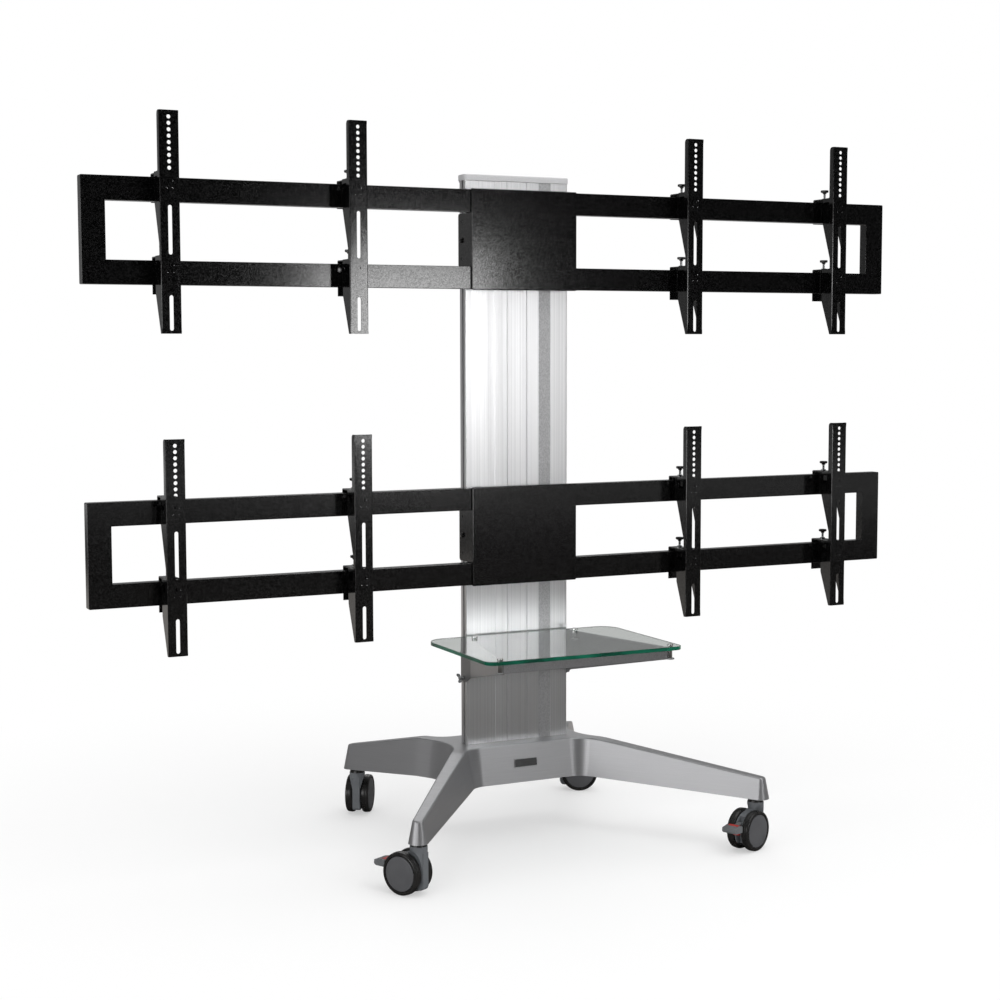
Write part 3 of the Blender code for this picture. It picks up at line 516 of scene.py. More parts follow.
def wing(side, top):
    """One loop of tube, from the middle of a frame out to its end."""
    bottom = top - FRAME_HEIGHT
    post = FRAME_HALF - TUBE_HEIGHT
    corners = [
        (WING_GAP, top, 0), (FRAME_HALF, top, 0.0025), (FRAME_HALF, bottom, 0.0025),
        (WING_GAP, bottom, 0), (WING_GAP, bottom + TUBE_HEIGHT, 0),
        (post, bottom + TUBE_HEIGHT, 0.001), (post, top - TUBE_HEIGHT, 0.001),
        (WING_GAP, top - TUBE_HEIGHT, 0),
    ]
    bm = bar([(side * u, v) for u, v in outline(corners, 3)], RAIL_FRONT, RAIL_BACK, "Y")
    return soften(bm, 0.0022, 3, chosen=lambda edge: max(abs(v.co.x) for v in edge.verts) > 0.01)


for row, top in FRAME_TOPS.items():
    for side, word in ((-1, "left"), (1, "right")):
        name = f"{row}_{word}_wing"
        finished(f"{name}_tube", wing(side, top), [POWDER], f"{row}_frame",
                 name, smooth=25)
print("four wings of 50 x 25 mm tube")

# %% [markdown]
# The centre plate is a shallow pressed tray that hides the joint of the two wings. A bent strip
# would leave its corners open, so it starts as a box without its back, its edges are rounded,
# and the solidify operator gives it its sheet.

# %% Centre plates
PLATE_SHEET = 0.0022


def centre_plate(node):
    """A tray that fills the solid's box and is open at the back."""
    bm = block(*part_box(node))
    back = [face for face in bm.faces if face.normal.y > 0.9]
    bmesh.ops.delete(bm, geom=back, context="FACES_ONLY")
    soften(bm, 0.0024, 3, chosen=lambda edge: len(edge.link_faces) == 2)
    outward(bm)
    bmesh.ops.solidify(bm, geom=bm.faces[:], thickness=PLATE_SHEET)
    return outward(bm)


for row in FRAME_TOPS:
    node = f"{row}_centre_plate"
    finished(f"{node}_cover", centre_plate(node), [POWDER], f"{row}_frame",
             node, smooth=25)
print("two centre plates of", PLATE_SHEET, "m sheet")

# %% [markdown]
# Behind the rails a bracket grips the column: a web across the back of the rails and a cheek on
# each side of the column, clamped by a socket screw. Each plate is made by itself, because its
# edges are rounded before it meets the others. The screw's head is turned, and its hexagon is
# an inset face pushed in.

# %% Column brackets
CHEEK_GAP, CHEEK_SHEET = 0.0004, 0.002
CHEEK_DEPTH = 0.068
CHEEK_HOLES = (-0.042, 0.042)
WEB_SHEET = 0.003
WEB_HALF_HEIGHT = 0.099
CLEARANCE = 0.0003


def socket_screw(radius, height, key):
    """A button head with a hexagon socket, standing on z = 0."""
    dome = turned([(0, height), (key * 1.25, height), (radius * 0.86, height * 0.82),
                   (radius, height * 0.35), (radius, 0), (0, 0)], 36)
    well = moved(hexagon(key, height * 0.1), placing(0, 0, height))
    top = [face for face in well.faces if face.normal.z > 0.9]
    bmesh.ops.inset_region(well, faces=top, thickness=key * 0.12)
    bmesh.ops.translate(well, vec=(0, 0, -height * 0.5), verts=top[0].verts[:])
    return together(dome, well)


def column_bracket(top):
    """The web, the two cheeks and their screws behind the frame with a given top."""
    inner = COLUMN_HALF + CHEEK_GAP
    outer = inner + CHEEK_SHEET
    front, back = RAIL_FRONT, RAIL_FRONT + CHEEK_DEPTH
    web_front = RAIL_BACK + CLEARANCE
    middle = top - FRAME_HEIGHT / 2
    reach = FRAME_HEIGHT / 2 - TUBE_HEIGHT - CLEARANCE
    plan = outline([(front, middle - reach, 0), (back, middle - reach, 0.006),
                    (back, middle + reach, 0.006), (front, middle + reach, 0)], 4)
    holes = [ring(SLOT_CENTRE, middle + rise, 0.0022, 14) for rise in CHEEK_HOLES]
    shapes = []
    for side in (-1, 1):
        shapes.append(soften(sheet(plan, holes, side * inner, side * outer, "X"), 0.0004, 1))
        shapes.append(moved(socket_screw(0.0065, 0.0045, 0.0026), rotation(90 * side, "Y"),
                            placing(side * outer, SLOT_CENTRE, middle)))
    web = block((-inner, web_front, middle - WEB_HALF_HEIGHT),
                (inner, web_front + WEB_SHEET, middle + WEB_HALF_HEIGHT))
    return together(*shapes, soften(web, 0.0006))


for row, top in FRAME_TOPS.items():
    node = f"{row}_column_bracket"
    finished(f"{node}_cheeks", column_bracket(top), [POWDER], f"{row}_frame",
             node)
print("two column brackets, cheeks", CHEEK_DEPTH, "m deep")

# %% [markdown]
# ## The column
# The die leaves shallow flutes in bands, a fine seam to each side of the centre and a lower
# band near each edge. Bump could fake them, but their edges catch the light, so they are
# drawn. Only the front needs them: the outline is walked across the front from centre to edge,
# and mirrored. The extrusion keeps its guide slot in each side.

# %% Fluted section
FLUTE_PITCH = 0.0024
FLUTE_DEPTH = 0.00004
SEAM, SEAM_HALF, SEAM_DEPTH = 0.0249, 0.0004, 0.0016
BAND_START, BAND_END, BAND_DEPTH = 0.0562, 0.0862, 0.0010
FLUTED = ((0.0012, SEAM - 0.0030), (0.0300, 0.0480), (0.0890, 0.0940), (0.1130, 0.1190))
SLOT_LOW, SLOT_HIGH, SLOT_DEPTH = 0.0095, 0.0165, 0.012
REAR = ((0.1175, 0.0350), (0.1140, 0.0400), (0.1120, 0.0600), (0.1060, 0.0680))


def flutes(start, end):
    """Shallow scallops between two places on the front, as (x, depth behind the front)."""
    count = max(1, round((end - start) / FLUTE_PITCH))
    pitch = (end - start) / count
    points = []
    for i in range(count):
        points += [(start + i * pitch, 0), (start + (i + 0.5) * pitch, FLUTE_DEPTH)]
    return points + [(end, 0)]


def groove(start, end, depth):
    """A sunk band of the front with sloping sides."""
    slope = 0.0004
    return [(start - slope, 0), (start, depth), (end, depth), (end + slope, 0)]


def column_outline():
    """The section, walked from the front's middle round the right side, and mirrored."""
    half, inside = COLUMN_HALF, COLUMN_HALF - SLOT_DEPTH
    centre, inner, outer, edge = (flutes(*band) for band in FLUTED)
    wall = centre + groove(SEAM - SEAM_HALF, SEAM + SEAM_HALF, SEAM_DEPTH) + inner
    wall += groove(BAND_START, BAND_END, BAND_DEPTH) + outer + edge
    wall += arc((half - 0.002, 0.002), 0.002, -90, 0, 4)
    wall += [(half, SLOT_LOW), (inside, SLOT_LOW), (inside, SLOT_HIGH), (half, SLOT_HIGH),
             (half, 0.0284), *REAR, (0.0960, COLUMN_HIGH.y - COLUMN_LOW.y)]
    mirrored = [(-u, v) for u, v in reversed(wall)]
    return [(u, COLUMN_LOW.y + v) for u, v in wall + mirrored]


def on_band(face):
    return face.normal.y < -0.9 and BAND_START < face.calc_center_median().x < BAND_END


# Only the right sunk band takes the darker finish, which paints a dark reflection there.
column = painted(bar(column_outline(), COLUMN_LOW.z, COLUMN_HIGH.z), 1, on_band)
finished("column_profile", column, [ANODISED, BLASTED_BAND_AND_REFLECTION], "stand",
         "column_extrusion", smooth=28)

# The foot plate is hidden inside the base, so its own mesh stays and only takes a metal.
frame["nodes"]["column_foot_plate"].data.materials.clear()
frame["nodes"]["column_foot_plate"].data.materials.append(BLASTED)
print("column", round(COLUMN_HIGH.z - COLUMN_LOW.z, 4), "m tall")

# %% [markdown]
# The cap is a moulding that overhangs the extrusion by 3 mm. Its plan follows the column, so it
# is pulled from an outline and not cut from a box. Its upper rim is rounded with a wide soft
# bevel, as a mould gives it.

# %% Column cap
cap_low, cap_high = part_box("column_top_cap")
half_plan = [(cap_high.x, cap_low.y, 0.008), (cap_high.x, COLUMN_LOW.y + 0.030, 0.006),
             (0.118, COLUMN_LOW.y + 0.042, 0.010), (0.113, cap_high.y, 0.014)]
cap_plan = half_plan + [(-u, v, radius) for u, v, radius in reversed(half_plan)]
cap = bar(outline(cap_plan, 6), cap_low.z, cap_high.z)
soften(cap, 0.0024, 4, chosen=lambda edge: min(v.co.z for v in edge.verts) > cap_high.z - 0.001)
soften(cap, 0.0005)
finished("column_cap_moulding", cap, [CAP], "stand", "column_top_cap")
print("cap", round(cap_high.z - cap_low.z, 4), "m tall")

# %% [markdown]
# ## Screen arms
# An arm is a channel folded from 2 mm sheet: a perforated front, two flanges that taper to the
# foot, and two hooks that sit over the rails. It could be cut out and folded as one sheet,
# but three filled sheets with a bevel for the fold look the same and are simpler to draw. The
# flanges are filled sheets too, because each has a window beside its rail.

# %% Arm sheets
ARM_SHEET = 0.002
ARM_SIDE_REAR = RAIL_FRONT - 0.0165
HOOK_CLEARANCE = 0.0055
HOOK_SHEET = 0.003
HOLE_RADIUS, HOLE_DEPTHS = 0.0041, [0.0133 + i * 0.0128 for i in range(9)]
SLOT_WIDTH, SLOT_SPANS = 0.0083, ((0.290, 0.190), (0.444, 0.372))
ACCESS_RADIUS, ACCESS_DEPTHS = 0.0040, (0.1404, 0.3106)
above_rail = arm_high.z - FRAME_TOPS["upper"]
RAIL_DEPTHS = (above_rail, above_rail + FRAME_HEIGHT - TUBE_HEIGHT)


def is_fold(edge, half):
    """True for the long front edges, where the sheet is folded back."""
    first, second = (vert.co for vert in edge.verts)
    sides = min(abs(first.x), abs(second.x)) > half - 0.0001
    return sides and max(first.y, second.y) < ARM_FRONT + 0.0001 and abs(first.z - second.z) > 0.1


def arm_front():
    """The perforated front of an arm whose top is at z = 0."""
    half = ARM_WIDTH / 2
    holes = [ring(0, -depth, HOLE_RADIUS) for depth in HOLE_DEPTHS]
    holes += [slot_ring(0, -low, -high, SLOT_WIDTH) for low, high in SLOT_SPANS]
    holes += [ring(0, -depth, ACCESS_RADIUS) for depth in ACCESS_DEPTHS]
    face = panel((-half, 0), (half, -ARM_LENGTH), 0.0015)
    bm = sheet(face, holes, ARM_FRONT, ARM_FRONT + ARM_SHEET, "Y")
    soften(bm, 0.0019, 3, chosen=lambda edge: is_fold(edge, half))
    return soften(bm, 0.0003, 1,
                  chosen=lambda edge: max(v.co.y for v in edge.verts) < ARM_FRONT + 0.0005)


def arm_flange(side):
    """One side of the arm, stepped where it meets the rails and tapered to the foot."""
    front, deep = ARM_FRONT + ARM_SHEET, ARM_SIDE_REAR
    top_edge, middle_edge, foot_edge = ARM_FRONT + 0.0155, ARM_FRONT + 0.0110, ARM_FRONT + 0.0090
    upper_hook, lower_hook = (HOOK_CLEARANCE + HOOK_SHEET - depth for depth in RAIL_DEPTHS)
    under_upper, under_lower = (-depth - TUBE_HEIGHT for depth in RAIL_DEPTHS)
    corners = [
        (front, 0, 0), (front, -ARM_LENGTH, 0), (foot_edge, -ARM_LENGTH, 0.003),
        (deep, under_lower - 0.020, 0.006), (deep, lower_hook, 0.001),
        (middle_edge, lower_hook, 0.002), (middle_edge, under_upper - 0.088, 0.010),
        (deep, under_upper, 0.002), (deep, upper_hook, 0.001), (top_edge, upper_hook, 0.003),
        (top_edge, 0, 0.008),
    ]
    windows = [panel((ARM_FRONT + 0.017, -depth - 0.018), (deep - 0.005, -depth - 0.001), 0.001)
               for depth in RAIL_DEPTHS]
    outer = side * ARM_WIDTH / 2
    inner = side * (ARM_WIDTH / 2 - ARM_SHEET)
    bm = sheet(outline(corners, 4), windows, inner, outer, "X")
    return soften(bm, 0.0003, 1,
                  chosen=lambda edge: min(v.co.y for v in edge.verts) > front + 0.0001)


print("flanges reach", round(ARM_SIDE_REAR - ARM_FRONT, 4), "m behind the front")

# %% [markdown]
# A hook is a bent strap, 30 mm wide, seen from the side: a saddle over the rail with a short
# leg in front of it and a longer one behind. It could be a line given thickness, but drawn as
# an outline each bend keeps its own radius. Small spot-weld studs show through the front.

# %% Hooks and studs
HOOK_HALF = 0.015
LEGS_BELOW_RAIL = (0.001, 0.019)
SCREW_Y = RAIL_FRONT + 0.0125
SCREW_SIDESTEP = 0.0055
NUT_RADIUS, NUT_HEIGHT = 0.0062, 0.0028
STUDS = ((-0.0062, 0.0155), (0.0062, 0.0155), (0.0068, 0.0012))


def hook(depth, leg_below):
    """A strap over the rail, the tray that carries it in the arm, and its nut."""
    under = HOOK_CLEARANCE - depth
    over = under + HOOK_SHEET
    low = -depth - TUBE_HEIGHT
    inside = HOOK_REAR - HOOK_SHEET
    front = ARM_FRONT + ARM_SHEET
    before = RAIL_FRONT - 0.0005
    corners = [
        (front, under, 0), (before - HOOK_SHEET, under, 0), (before - HOOK_SHEET, low, 0),
        (before, low, 0), (before, under, 0.0006), (inside, under, 0.0010),
        (inside, low - leg_below, 0), (HOOK_REAR, low - leg_below, 0), (HOOK_REAR, over, 0.0034),
        (front, over, 0),
    ]
    strap = soften(bar(outline(corners, 4), -HOOK_HALF, HOOK_HALF, "X"), 0.0005)
    half = ARM_WIDTH / 2 - ARM_SHEET
    tray = block((-half, ARM_FRONT + 0.020, under), (half, ARM_SIDE_REAR - 0.001, over))
    nut = soften(hexagon(NUT_RADIUS, NUT_HEIGHT), 0.0004, 1, over=40)
    moved(nut, placing(SCREW_SIDESTEP, SCREW_Y, over + NUT_HEIGHT / 2))
    return together(strap, tray, painted(nut, 1))


def studs(depth):
    """Weld studs beside the access hole, as small domes on the arm's front."""
    shapes = []
    for x, drop in STUDS:
        dome = turned([(0, 0.0004), (0.0005, 0.0003), (0.0008, 0), (0.0008, -0.0002),
                       (0, -0.0002)], 12)
        shapes.append(moved(dome, rotation(90, "X"), placing(x, ARM_FRONT, -depth - drop)))
    return painted(together(*shapes), 1)


def screen_arm():
    hooks = [hook(depth, leg) for depth, leg in zip(RAIL_DEPTHS, LEGS_BELOW_RAIL)]
    welds = [studs(depth) for depth in ACCESS_DEPTHS]
    return together(arm_front(), arm_flange(-1), arm_flange(1), *hooks, *welds)


print(len(STUDS) * len(ACCESS_DEPTHS), "studs on an arm")

# %% [markdown]
# Each hook is locked by a thumbscrew from above: a flat knurled head, a lock nut and a bright
# stem that bears on the rail. Cutting each groove would cost many faces, so the knurl is the
# rim of the turned head with every second point drawn in.

# %% Thumbscrews
KNURLS = 36
KNURL_VALLEY = 0.955
HEAD_RADIUS = 0.0095
THREAD_TOP, THREAD_PITCH, THREAD_TURNS = 0.0226, 0.0022, 9


def thumbscrew():
    """A screw that stands on the top of a rail at z = 0."""
    head = turned([(0, 0.0308), (0.0060, 0.0308), (0.0066, 0.0315), (0.0086, 0.0315),
                   (HEAD_RADIUS, 0.0306), (HEAD_RADIUS, 0.0272), (0.0088, 0.0262),
                   (0.0050, 0.0248), (0.0044, 0.0238), (0.0044, 0.0225), (0, 0.0225)], KNURLS * 2)
    for vert in head.verts:
        step = round(math.atan2(vert.co.y, vert.co.x) / math.tau * KNURLS * 2)
        if vert.co.xy.length > HEAD_RADIUS - 0.0001 and step % 2:
            vert.co.xy *= KNURL_VALLEY
    thread = [(0, THREAD_TOP)]
    for i in range(THREAD_TURNS):
        low = THREAD_TOP - i * THREAD_PITCH
        thread += [(0.0030, low), (0.0026, low - THREAD_PITCH / 2)]
    thread += [(0.0030, 0.0009), (0.0024, 0.0003), (0, 0.0003)]
    return together(head, painted(turned(thread, 20), 1))


arm_pattern = screen_arm()
screw_pattern = thumbscrew()
for row, top in FRAME_TOPS.items():
    for number in (1, 2, 3, 4):
        body = f"{row}_arm_{number}"
        low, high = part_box(body)
        middle = (low.x + high.x) / 2
        finished(f"{body}_channel", moved(arm_pattern.copy(), placing(middle, 0, high.z)),
                 [POWDER, ZINC], body, body, smooth=25)
        for spot, rail_top in (("top", top), ("bottom", top - FRAME_HEIGHT + TUBE_HEIGHT)):
            node = f"{body}_{spot}_thumbscrew"
            place = placing(middle + SCREW_SIDESTEP, SCREW_Y, rail_top)
            finished(f"{node}_knurled", moved(screw_pattern.copy(), place), [POWDER, ZINC], node,
                     node)
print("eight arms,", len(arm_pattern.faces), "faces each")

# %% [markdown]
# ## The shelf
# The plate of glass has rounded corners and four drilled holes. It is filled and pulled like
# the punched sheets, because its edge then comes out clean. Its faces are clear and its ground
# edge is green, so the rim faces get their own finish.

# %% Glass plate
FRONT_ROUND, REAR_ROUND = 0.022, 0.045
DRILL_RADIUS = 0.0045
glass_low, glass_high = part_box("shelf_glass")
POSTS = {}
for spot in ("front_left", "front_right", "rear_left", "rear_right"):
    post_low, post_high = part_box(f"shelf_post_{spot}")
    POSTS[spot] = ((post_low.x + post_high.x) / 2, (post_low.y + post_high.y) / 2)

glass_plan = outline([(glass_low.x, glass_low.y, FRONT_ROUND),
                      (glass_high.x, glass_low.y, FRONT_ROUND),
                      (glass_high.x, glass_high.y, REAR_ROUND),
                      (glass_low.x, glass_high.y, REAR_ROUND)], 12)
drilled = [ring(x, y, DRILL_RADIUS, 24) for x, y in POSTS.values()]
glass = soften(sheet(glass_plan, drilled, glass_low.z, glass_high.z), 0.0008)
painted(glass, 1, lambda face: abs(face.normal.z) < 0.9)
finished("shelf_glass_plate", glass, [GLASS, GLASS_EDGE], "shelf", "shelf_glass")
print("glass", round(glass_high.x - glass_low.x, 4), "m wide")

# %% [markdown]
# Four posts carry the glass: a sleeve below it and a bright cap above. Stacked cylinders would
# have sharp rims. A turned profile with small chamfers gives each its thin highlights.

# %% Posts
def shelf_post(x, y):
    """Cap, neck and sleeve of one post in a single profile."""
    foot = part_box("shelf_post_front_left")[0].z
    low, top = glass_low.z, glass_high.z
    profile = [(0, top + 0.0055), (0.0054, top + 0.0055), (0.0064, top + 0.0050),
               (0.0068, top + 0.0042), (0.0068, top + 0.0010), (0.0064, top + 0.0003),
               (0.0036, top + 0.0003), (0.0036, low - 0.0003), (0.0046, low - 0.0003),
               (0.0050, low - 0.0008), (0.0050, foot + 0.0006), (0.0046, foot), (0, foot)]
    return moved(turned(profile, 32), placing(x, y, 0))


for spot, (x, y) in POSTS.items():
    node = f"shelf_post_{spot}"
    finished(f"{node}_turned", shelf_post(x, y), [POLISHED], "shelf", node)
print(len(POSTS), "posts")

# %% [markdown]
# The bracket is one folded strip: an apron across the front, a tapering side to each cheek, and
# the cheeks along the column. Separate plates would show gaps at the bends, so the strip is a
# line of points in plan, extruded down to a lower edge that follows the taper, and given its
# sheet by the solidify operator.

# %% Shelf bracket
bracket_low, bracket_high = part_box("shelf_bracket")
BRACKET_SHEET = 0.0025
APRON_BOTTOM = glass_high.z - 0.028
SIDE_BOTTOM = 0.370
CHEEK_INNER = COLUMN_HALF + 0.0009
EAR_FRONT = SLOT_CENTRE - 0.009
FRONT_CORNER = Vector((0.207, RAIL_FRONT - 0.301))
BEND = Vector((CHEEK_INNER, RAIL_FRONT + 0.014))


def lower_edge(y):
    """Height of the bracket's lower edge, from the apron back to the ears."""
    if y > EAR_FRONT:
        return bracket_low.z
    share = min(max((y - FRONT_CORNER.y) / (BEND.y - FRONT_CORNER.y), 0), 1)
    return APRON_BOTTOM + (SIDE_BOTTOM - APRON_BOTTOM) * share


def bracket_path():
    """Half of the strip in plan, from the front's middle to the back of the cheek."""
    back = Vector((CHEEK_INNER, bracket_high.y))
    corner = fillet(Vector((0, FRONT_CORNER.y)), FRONT_CORNER, BEND, 0.006, 5)
    bend = fillet(FRONT_CORNER, BEND, back, 0.012, 4)
    side = [corner[-1].lerp(bend[0], i / 6) for i in range(1, 6)]
    ear = [Vector((CHEEK_INNER, y)) for y in (EAR_FRONT, EAR_FRONT + 0.0002)]
    return [Vector((0.08, FRONT_CORNER.y)), *corner, *side, *bend, *ear, back]


def shelf_bracket():
    """The folded strip and the four pads on which the posts stand."""
    right = bracket_path()
    path = [Vector((-p.x, p.y)) for p in reversed(right)] + right
    bm = bmesh.new()
    top = [bm.verts.new((p.x, p.y, bracket_high.z)) for p in path]
    edges = [bm.edges.new(pair) for pair in zip(top, top[1:])]
    for vert in new_verts(bmesh.ops.extrude_edge_only(bm, edges=edges)):
        vert.co.z = lower_edge(vert.co.y)
    outward(bm)
    apron = [face for face in bm.faces if abs(face.normal.y) > 0.99]
    if apron and apron[0].normal.y > 0:
        bmesh.ops.reverse_faces(bm, faces=bm.faces)
    bmesh.ops.solidify(bm, geom=bm.faces[:], thickness=BRACKET_SHEET)
    outward(bm)
    low, high = APRON_BOTTOM, APRON_BOTTOM + BRACKET_SHEET
    pad = [(0, high), (0.0090, high), (0.0095, low + 0.0020), (0.0095, low), (0, low)]
    pads = [moved(turned(pad, 28), placing(x, y, 0)) for x, y in POSTS.values()]
    return together(soften(bm, 0.0005), *pads)


finished("shelf_bracket_folded", shelf_bracket(), [BLASTED], "shelf",
         "shelf_bracket")
print("bracket", round(bracket_high.y - bracket_low.y, 4), "m deep")

# %% [markdown]
# A wing screw through each cheek locks the shelf in the column's slot. Its wings could be
# stretched from the hub, but as two flat lobes, drawn as rounded outlines, they keep an even
# thickness.

# %% Wing screws
def wing_screw(side):
    """A screw with two wings, turned to face away from the column."""
    hub = turned([(0, 0.0100), (0.0036, 0.0100), (0.0046, 0.0090), (0.0056, 0.0010),
                  (0.0056, 0.0003), (0.0028, 0.0003), (0.0028, -0.0100), (0, -0.0100)], 28)
    lobes = []
    for lean in (-1, 1):
        lobe = outline([(lean * 0.0020, 0.0040, 0), (lean * 0.0105, 0.0060, 0.003),
                        (lean * 0.0125, 0.0140, 0.003), (lean * 0.0060, 0.0135, 0.003),
                        (lean * 0.0020, 0.0090, 0)], 5)
        lobes.append(soften(bar(lobe, -0.0012, 0.0012, "Y"), 0.0005))
    low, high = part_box("shelf_clamp_screw_left")
    return moved(together(hub, *lobes), rotation(90 * side, "Y"), rotation(35 * side, "X"),
                 placing(side * (CHEEK_INNER + BRACKET_SHEET), SLOT_CENTRE, (low.z + high.z) / 2))


for side, word in ((-1, "left"), (1, "right")):
    node = f"shelf_clamp_screw_{word}"
    finished(f"{node}_winged", wing_screw(side), [BLASTED], node, node)
print("two wing screws")

# %% [markdown]
# ## The cast base
# In plan the base is a hub with four legs. Its valleys are large fillets, so the outline is
# drawn from sharp corners with radii, which five joined blocks couldn't give. The flat face is
# cut across each leg, the cuts are lowered to make the slope, the face is pulled down to the
# underside, and the underside is pushed out to give the walls their draft.

# %% Base plan
BASE_UNDERSIDE = 0.125
LEG_END_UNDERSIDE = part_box("base_casting")[0].z
BASE_DRAFT = 0.19
BASE_WALL = 0.007
FRONT_FACE = RAIL_FRONT - 0.004
REAR_FACE = RAIL_FRONT + 0.140
ROOT_HALF, END_HALF = 0.0165, 0.0115
END_RADIUS, FACE_RADIUS, VALLEY_RADIUS = 0.010, 0.060, 0.120
SOLID_END = 0.060
LEG_REACH = 0.05


class Leg:
    """One leg in plan: where it leaves the hub, where it ends and how far it drops."""

    def __init__(self, root, end, start, end_top):
        self.root = Vector(root)
        self.start = start
        self.end_top = end_top
        self.length = (Vector(end) - self.root).length
        self.ahead = (Vector(end) - self.root).normalized()
        self.left = Vector((-self.ahead.y, self.ahead.x))

    def spot(self, share):
        """The middle of the leg at a share of its slope."""
        return self.root + self.ahead * (self.start + (self.length - self.start) * share)

    def side(self, hand, share):
        half = ROOT_HALF + (END_HALF - ROOT_HALF) * share
        return self.spot(share) + self.left * half * hand

    def share(self, point):
        """How far along the sloping part a point is, or below 0 when it isn't on this leg."""
        away = Vector(point[:2]) - self.root
        if abs(away.dot(self.left)) > LEG_REACH:
            return -1
        return (away.dot(self.ahead) - self.start) / (self.length - self.start)


def new_leg(side, root, end, start, end_top):
    """A leg from places given as (x, behind the rails' front)."""
    root, end = ((side * x, RAIL_FRONT + y) for x, y in (root, end))
    return Leg(root, end, start, end_top)


FRONT_LEG = ((0.1675, -0.009), (0.4235, -0.355), 0.018, 0.160)
REAR_LEG = ((0.1600, 0.125), (0.2979, 0.345), 0.043, 0.170)
LEGS = [new_leg(-1, *FRONT_LEG), new_leg(1, *FRONT_LEG), new_leg(1, *REAR_LEG),
        new_leg(-1, *REAR_LEG)]


def crossing(p, q, r, s):
    """Where the line through p and q meets the line through r and s."""
    first, second = q - p, s - r
    across = first.x * second.y - first.y * second.x
    return p + first * (((r - p).x * second.y - (r - p).y * second.x) / across)


def base_corners():
    """The plan leg by leg: the two corners of its end, then the way to the next leg."""
    corners = []
    for i, leg in enumerate(LEGS):
        after = LEGS[(i + 1) % 4]
        right, left = leg.side(-1, 1), leg.side(1, 1)
        corners += [(*right, END_RADIUS), (*left, END_RADIUS)]
        ours = (leg.side(1, 0), left)
        theirs = (after.side(-1, 0), after.side(-1, 1))
        if i % 2 == 0:
            y = FRONT_FACE if i == 0 else REAR_FACE
            face = (Vector((-1, y)), Vector((1, y)))
            corners += [(*crossing(*line, *face), FACE_RADIUS) for line in (ours, theirs)]
        else:
            corners.append((*crossing(*ours, *theirs), VALLEY_RADIUS))
    return corners


print("front legs", round(LEGS[0].length, 4), "m, rear legs", round(LEGS[2].length, 4), "m")

# %% [markdown]
# The slope starts softly where a leg leaves the hub. A bevel across the crease would have to
# cross the rounded rims, so the heights do it: a square root of a sum of squares bends the
# straight fall into the flat top.

# %% Base slopes
CUTS = (0.0, 0.04, 0.08, 0.13, 0.20, 0.35, 0.60, 0.85)
SOFT_START = 0.025


def fallen(share):
    """Share of the drop at a share of the leg's slope."""
    if share <= 0:
        return 0.0
    return (math.hypot(share, SOFT_START) - SOFT_START) / (math.hypot(1, SOFT_START) - SOFT_START)


def top_height(point):
    return BASE_TOP - max(fallen(leg.share(point)) * (BASE_TOP - leg.end_top) for leg in LEGS)


def along_leg(point):
    """The share of the slope on whichever leg a point lies."""
    return max(leg.share(point) for leg in LEGS)


def underside_height(point):
    """The underside is level under the hub and falls a little to the ends of the legs."""
    return BASE_UNDERSIDE + (LEG_END_UNDERSIDE - BASE_UNDERSIDE) * max(along_leg(point), 0)


def spread(verts, amount):
    """Push points out of their upright walls by an amount that depends on the point."""
    shifts = {}
    for vert in verts:
        walls = [face.normal for face in vert.link_faces if abs(face.normal.z) < 0.5]
        if walls:
            total = Vector((sum(n.x for n in walls), sum(n.y for n in walls), 0)).normalized()
            shifts[vert] = total * amount(vert) / max(total.dot(walls[0]), 0.3)
    for vert, shift in shifts.items():
        vert.co += shift


print("a tenth of the way down a leg the top has fallen", round(fallen(0.1), 3), "of its drop")

# %% [markdown]
# The casting is that one face, cut, pulled down and hollowed from below. A smaller copy could
# be subtracted from it, but where it tapers the wall would come out uneven. An inset of the
# underside keeps the wall even all round. The leg ends stay solid, because the stems of the
# casters sit in them.

# %% Casting
HUB_SIDES = 60
BEFORE_LEG = -0.2
INNER_DRAFT_SHARE = 0.8
RIM_ABOVE = 0.15


def cut_across(bm, leg, share):
    """Cut the leg's faces and the hub's large one at a share of the slope."""
    parts = {}
    for face in bm.faces:
        if leg.share(face.calc_center_median()) > BEFORE_LEG or len(face.verts) > HUB_SIDES:
            parts.update(dict.fromkeys([face, *face.edges, *face.verts]))
    bmesh.ops.bisect_plane(bm, geom=list(parts), dist=1e-6, plane_co=(*leg.spot(share), 0),
                           plane_no=(*leg.ahead, 0))


def base_casting():
    """The outer shell of the base with its slopes and drafts, still closed underneath."""
    bm = bmesh.new()
    bm.faces.new([bm.verts.new((u, v, BASE_TOP)) for u, v in outline(base_corners(), 14)])
    for leg in LEGS:
        for share in CUTS:
            cut_across(bm, leg, share)
    outward(bm)
    lower = new_verts(bmesh.ops.extrude_face_region(bm, geom=bm.faces[:], use_keep_orig=True))
    for vert in lower:
        vert.co.z = underside_height(vert.co)
    outward(bm)
    spread(lower, lambda vert: BASE_DRAFT * (top_height(vert.co) - vert.co.z))
    lowest = set(lower)
    for vert in bm.verts:
        if vert not in lowest:
            vert.co.z = top_height(vert.co)
    return outward(bm)


def hollowed(bm):
    """Cut the hollow underneath: inset the underside and push it up between the walls."""
    solid_from = 1 - SOLID_END / LEGS[0].length
    under = [face for face in bm.faces
             if face.normal.z < -0.7 and along_leg(face.calc_center_median()) < solid_from]
    bmesh.ops.inset_region(bm, faces=under, thickness=BASE_WALL, use_even_offset=True)
    ceiling = new_verts(bmesh.ops.extrude_face_region(bm, geom=under))
    rises = {vert: top_height(vert.co) - BASE_WALL - vert.co.z for vert in ceiling}
    for vert, rise in rises.items():
        vert.co.z += rise
    bmesh.ops.delete(bm, geom=[face for face in under if face.is_valid], context="FACES")
    outward(bm)
    spread(ceiling, lambda vert: BASE_DRAFT * rises[vert] * INNER_DRAFT_SHARE)
    return bm


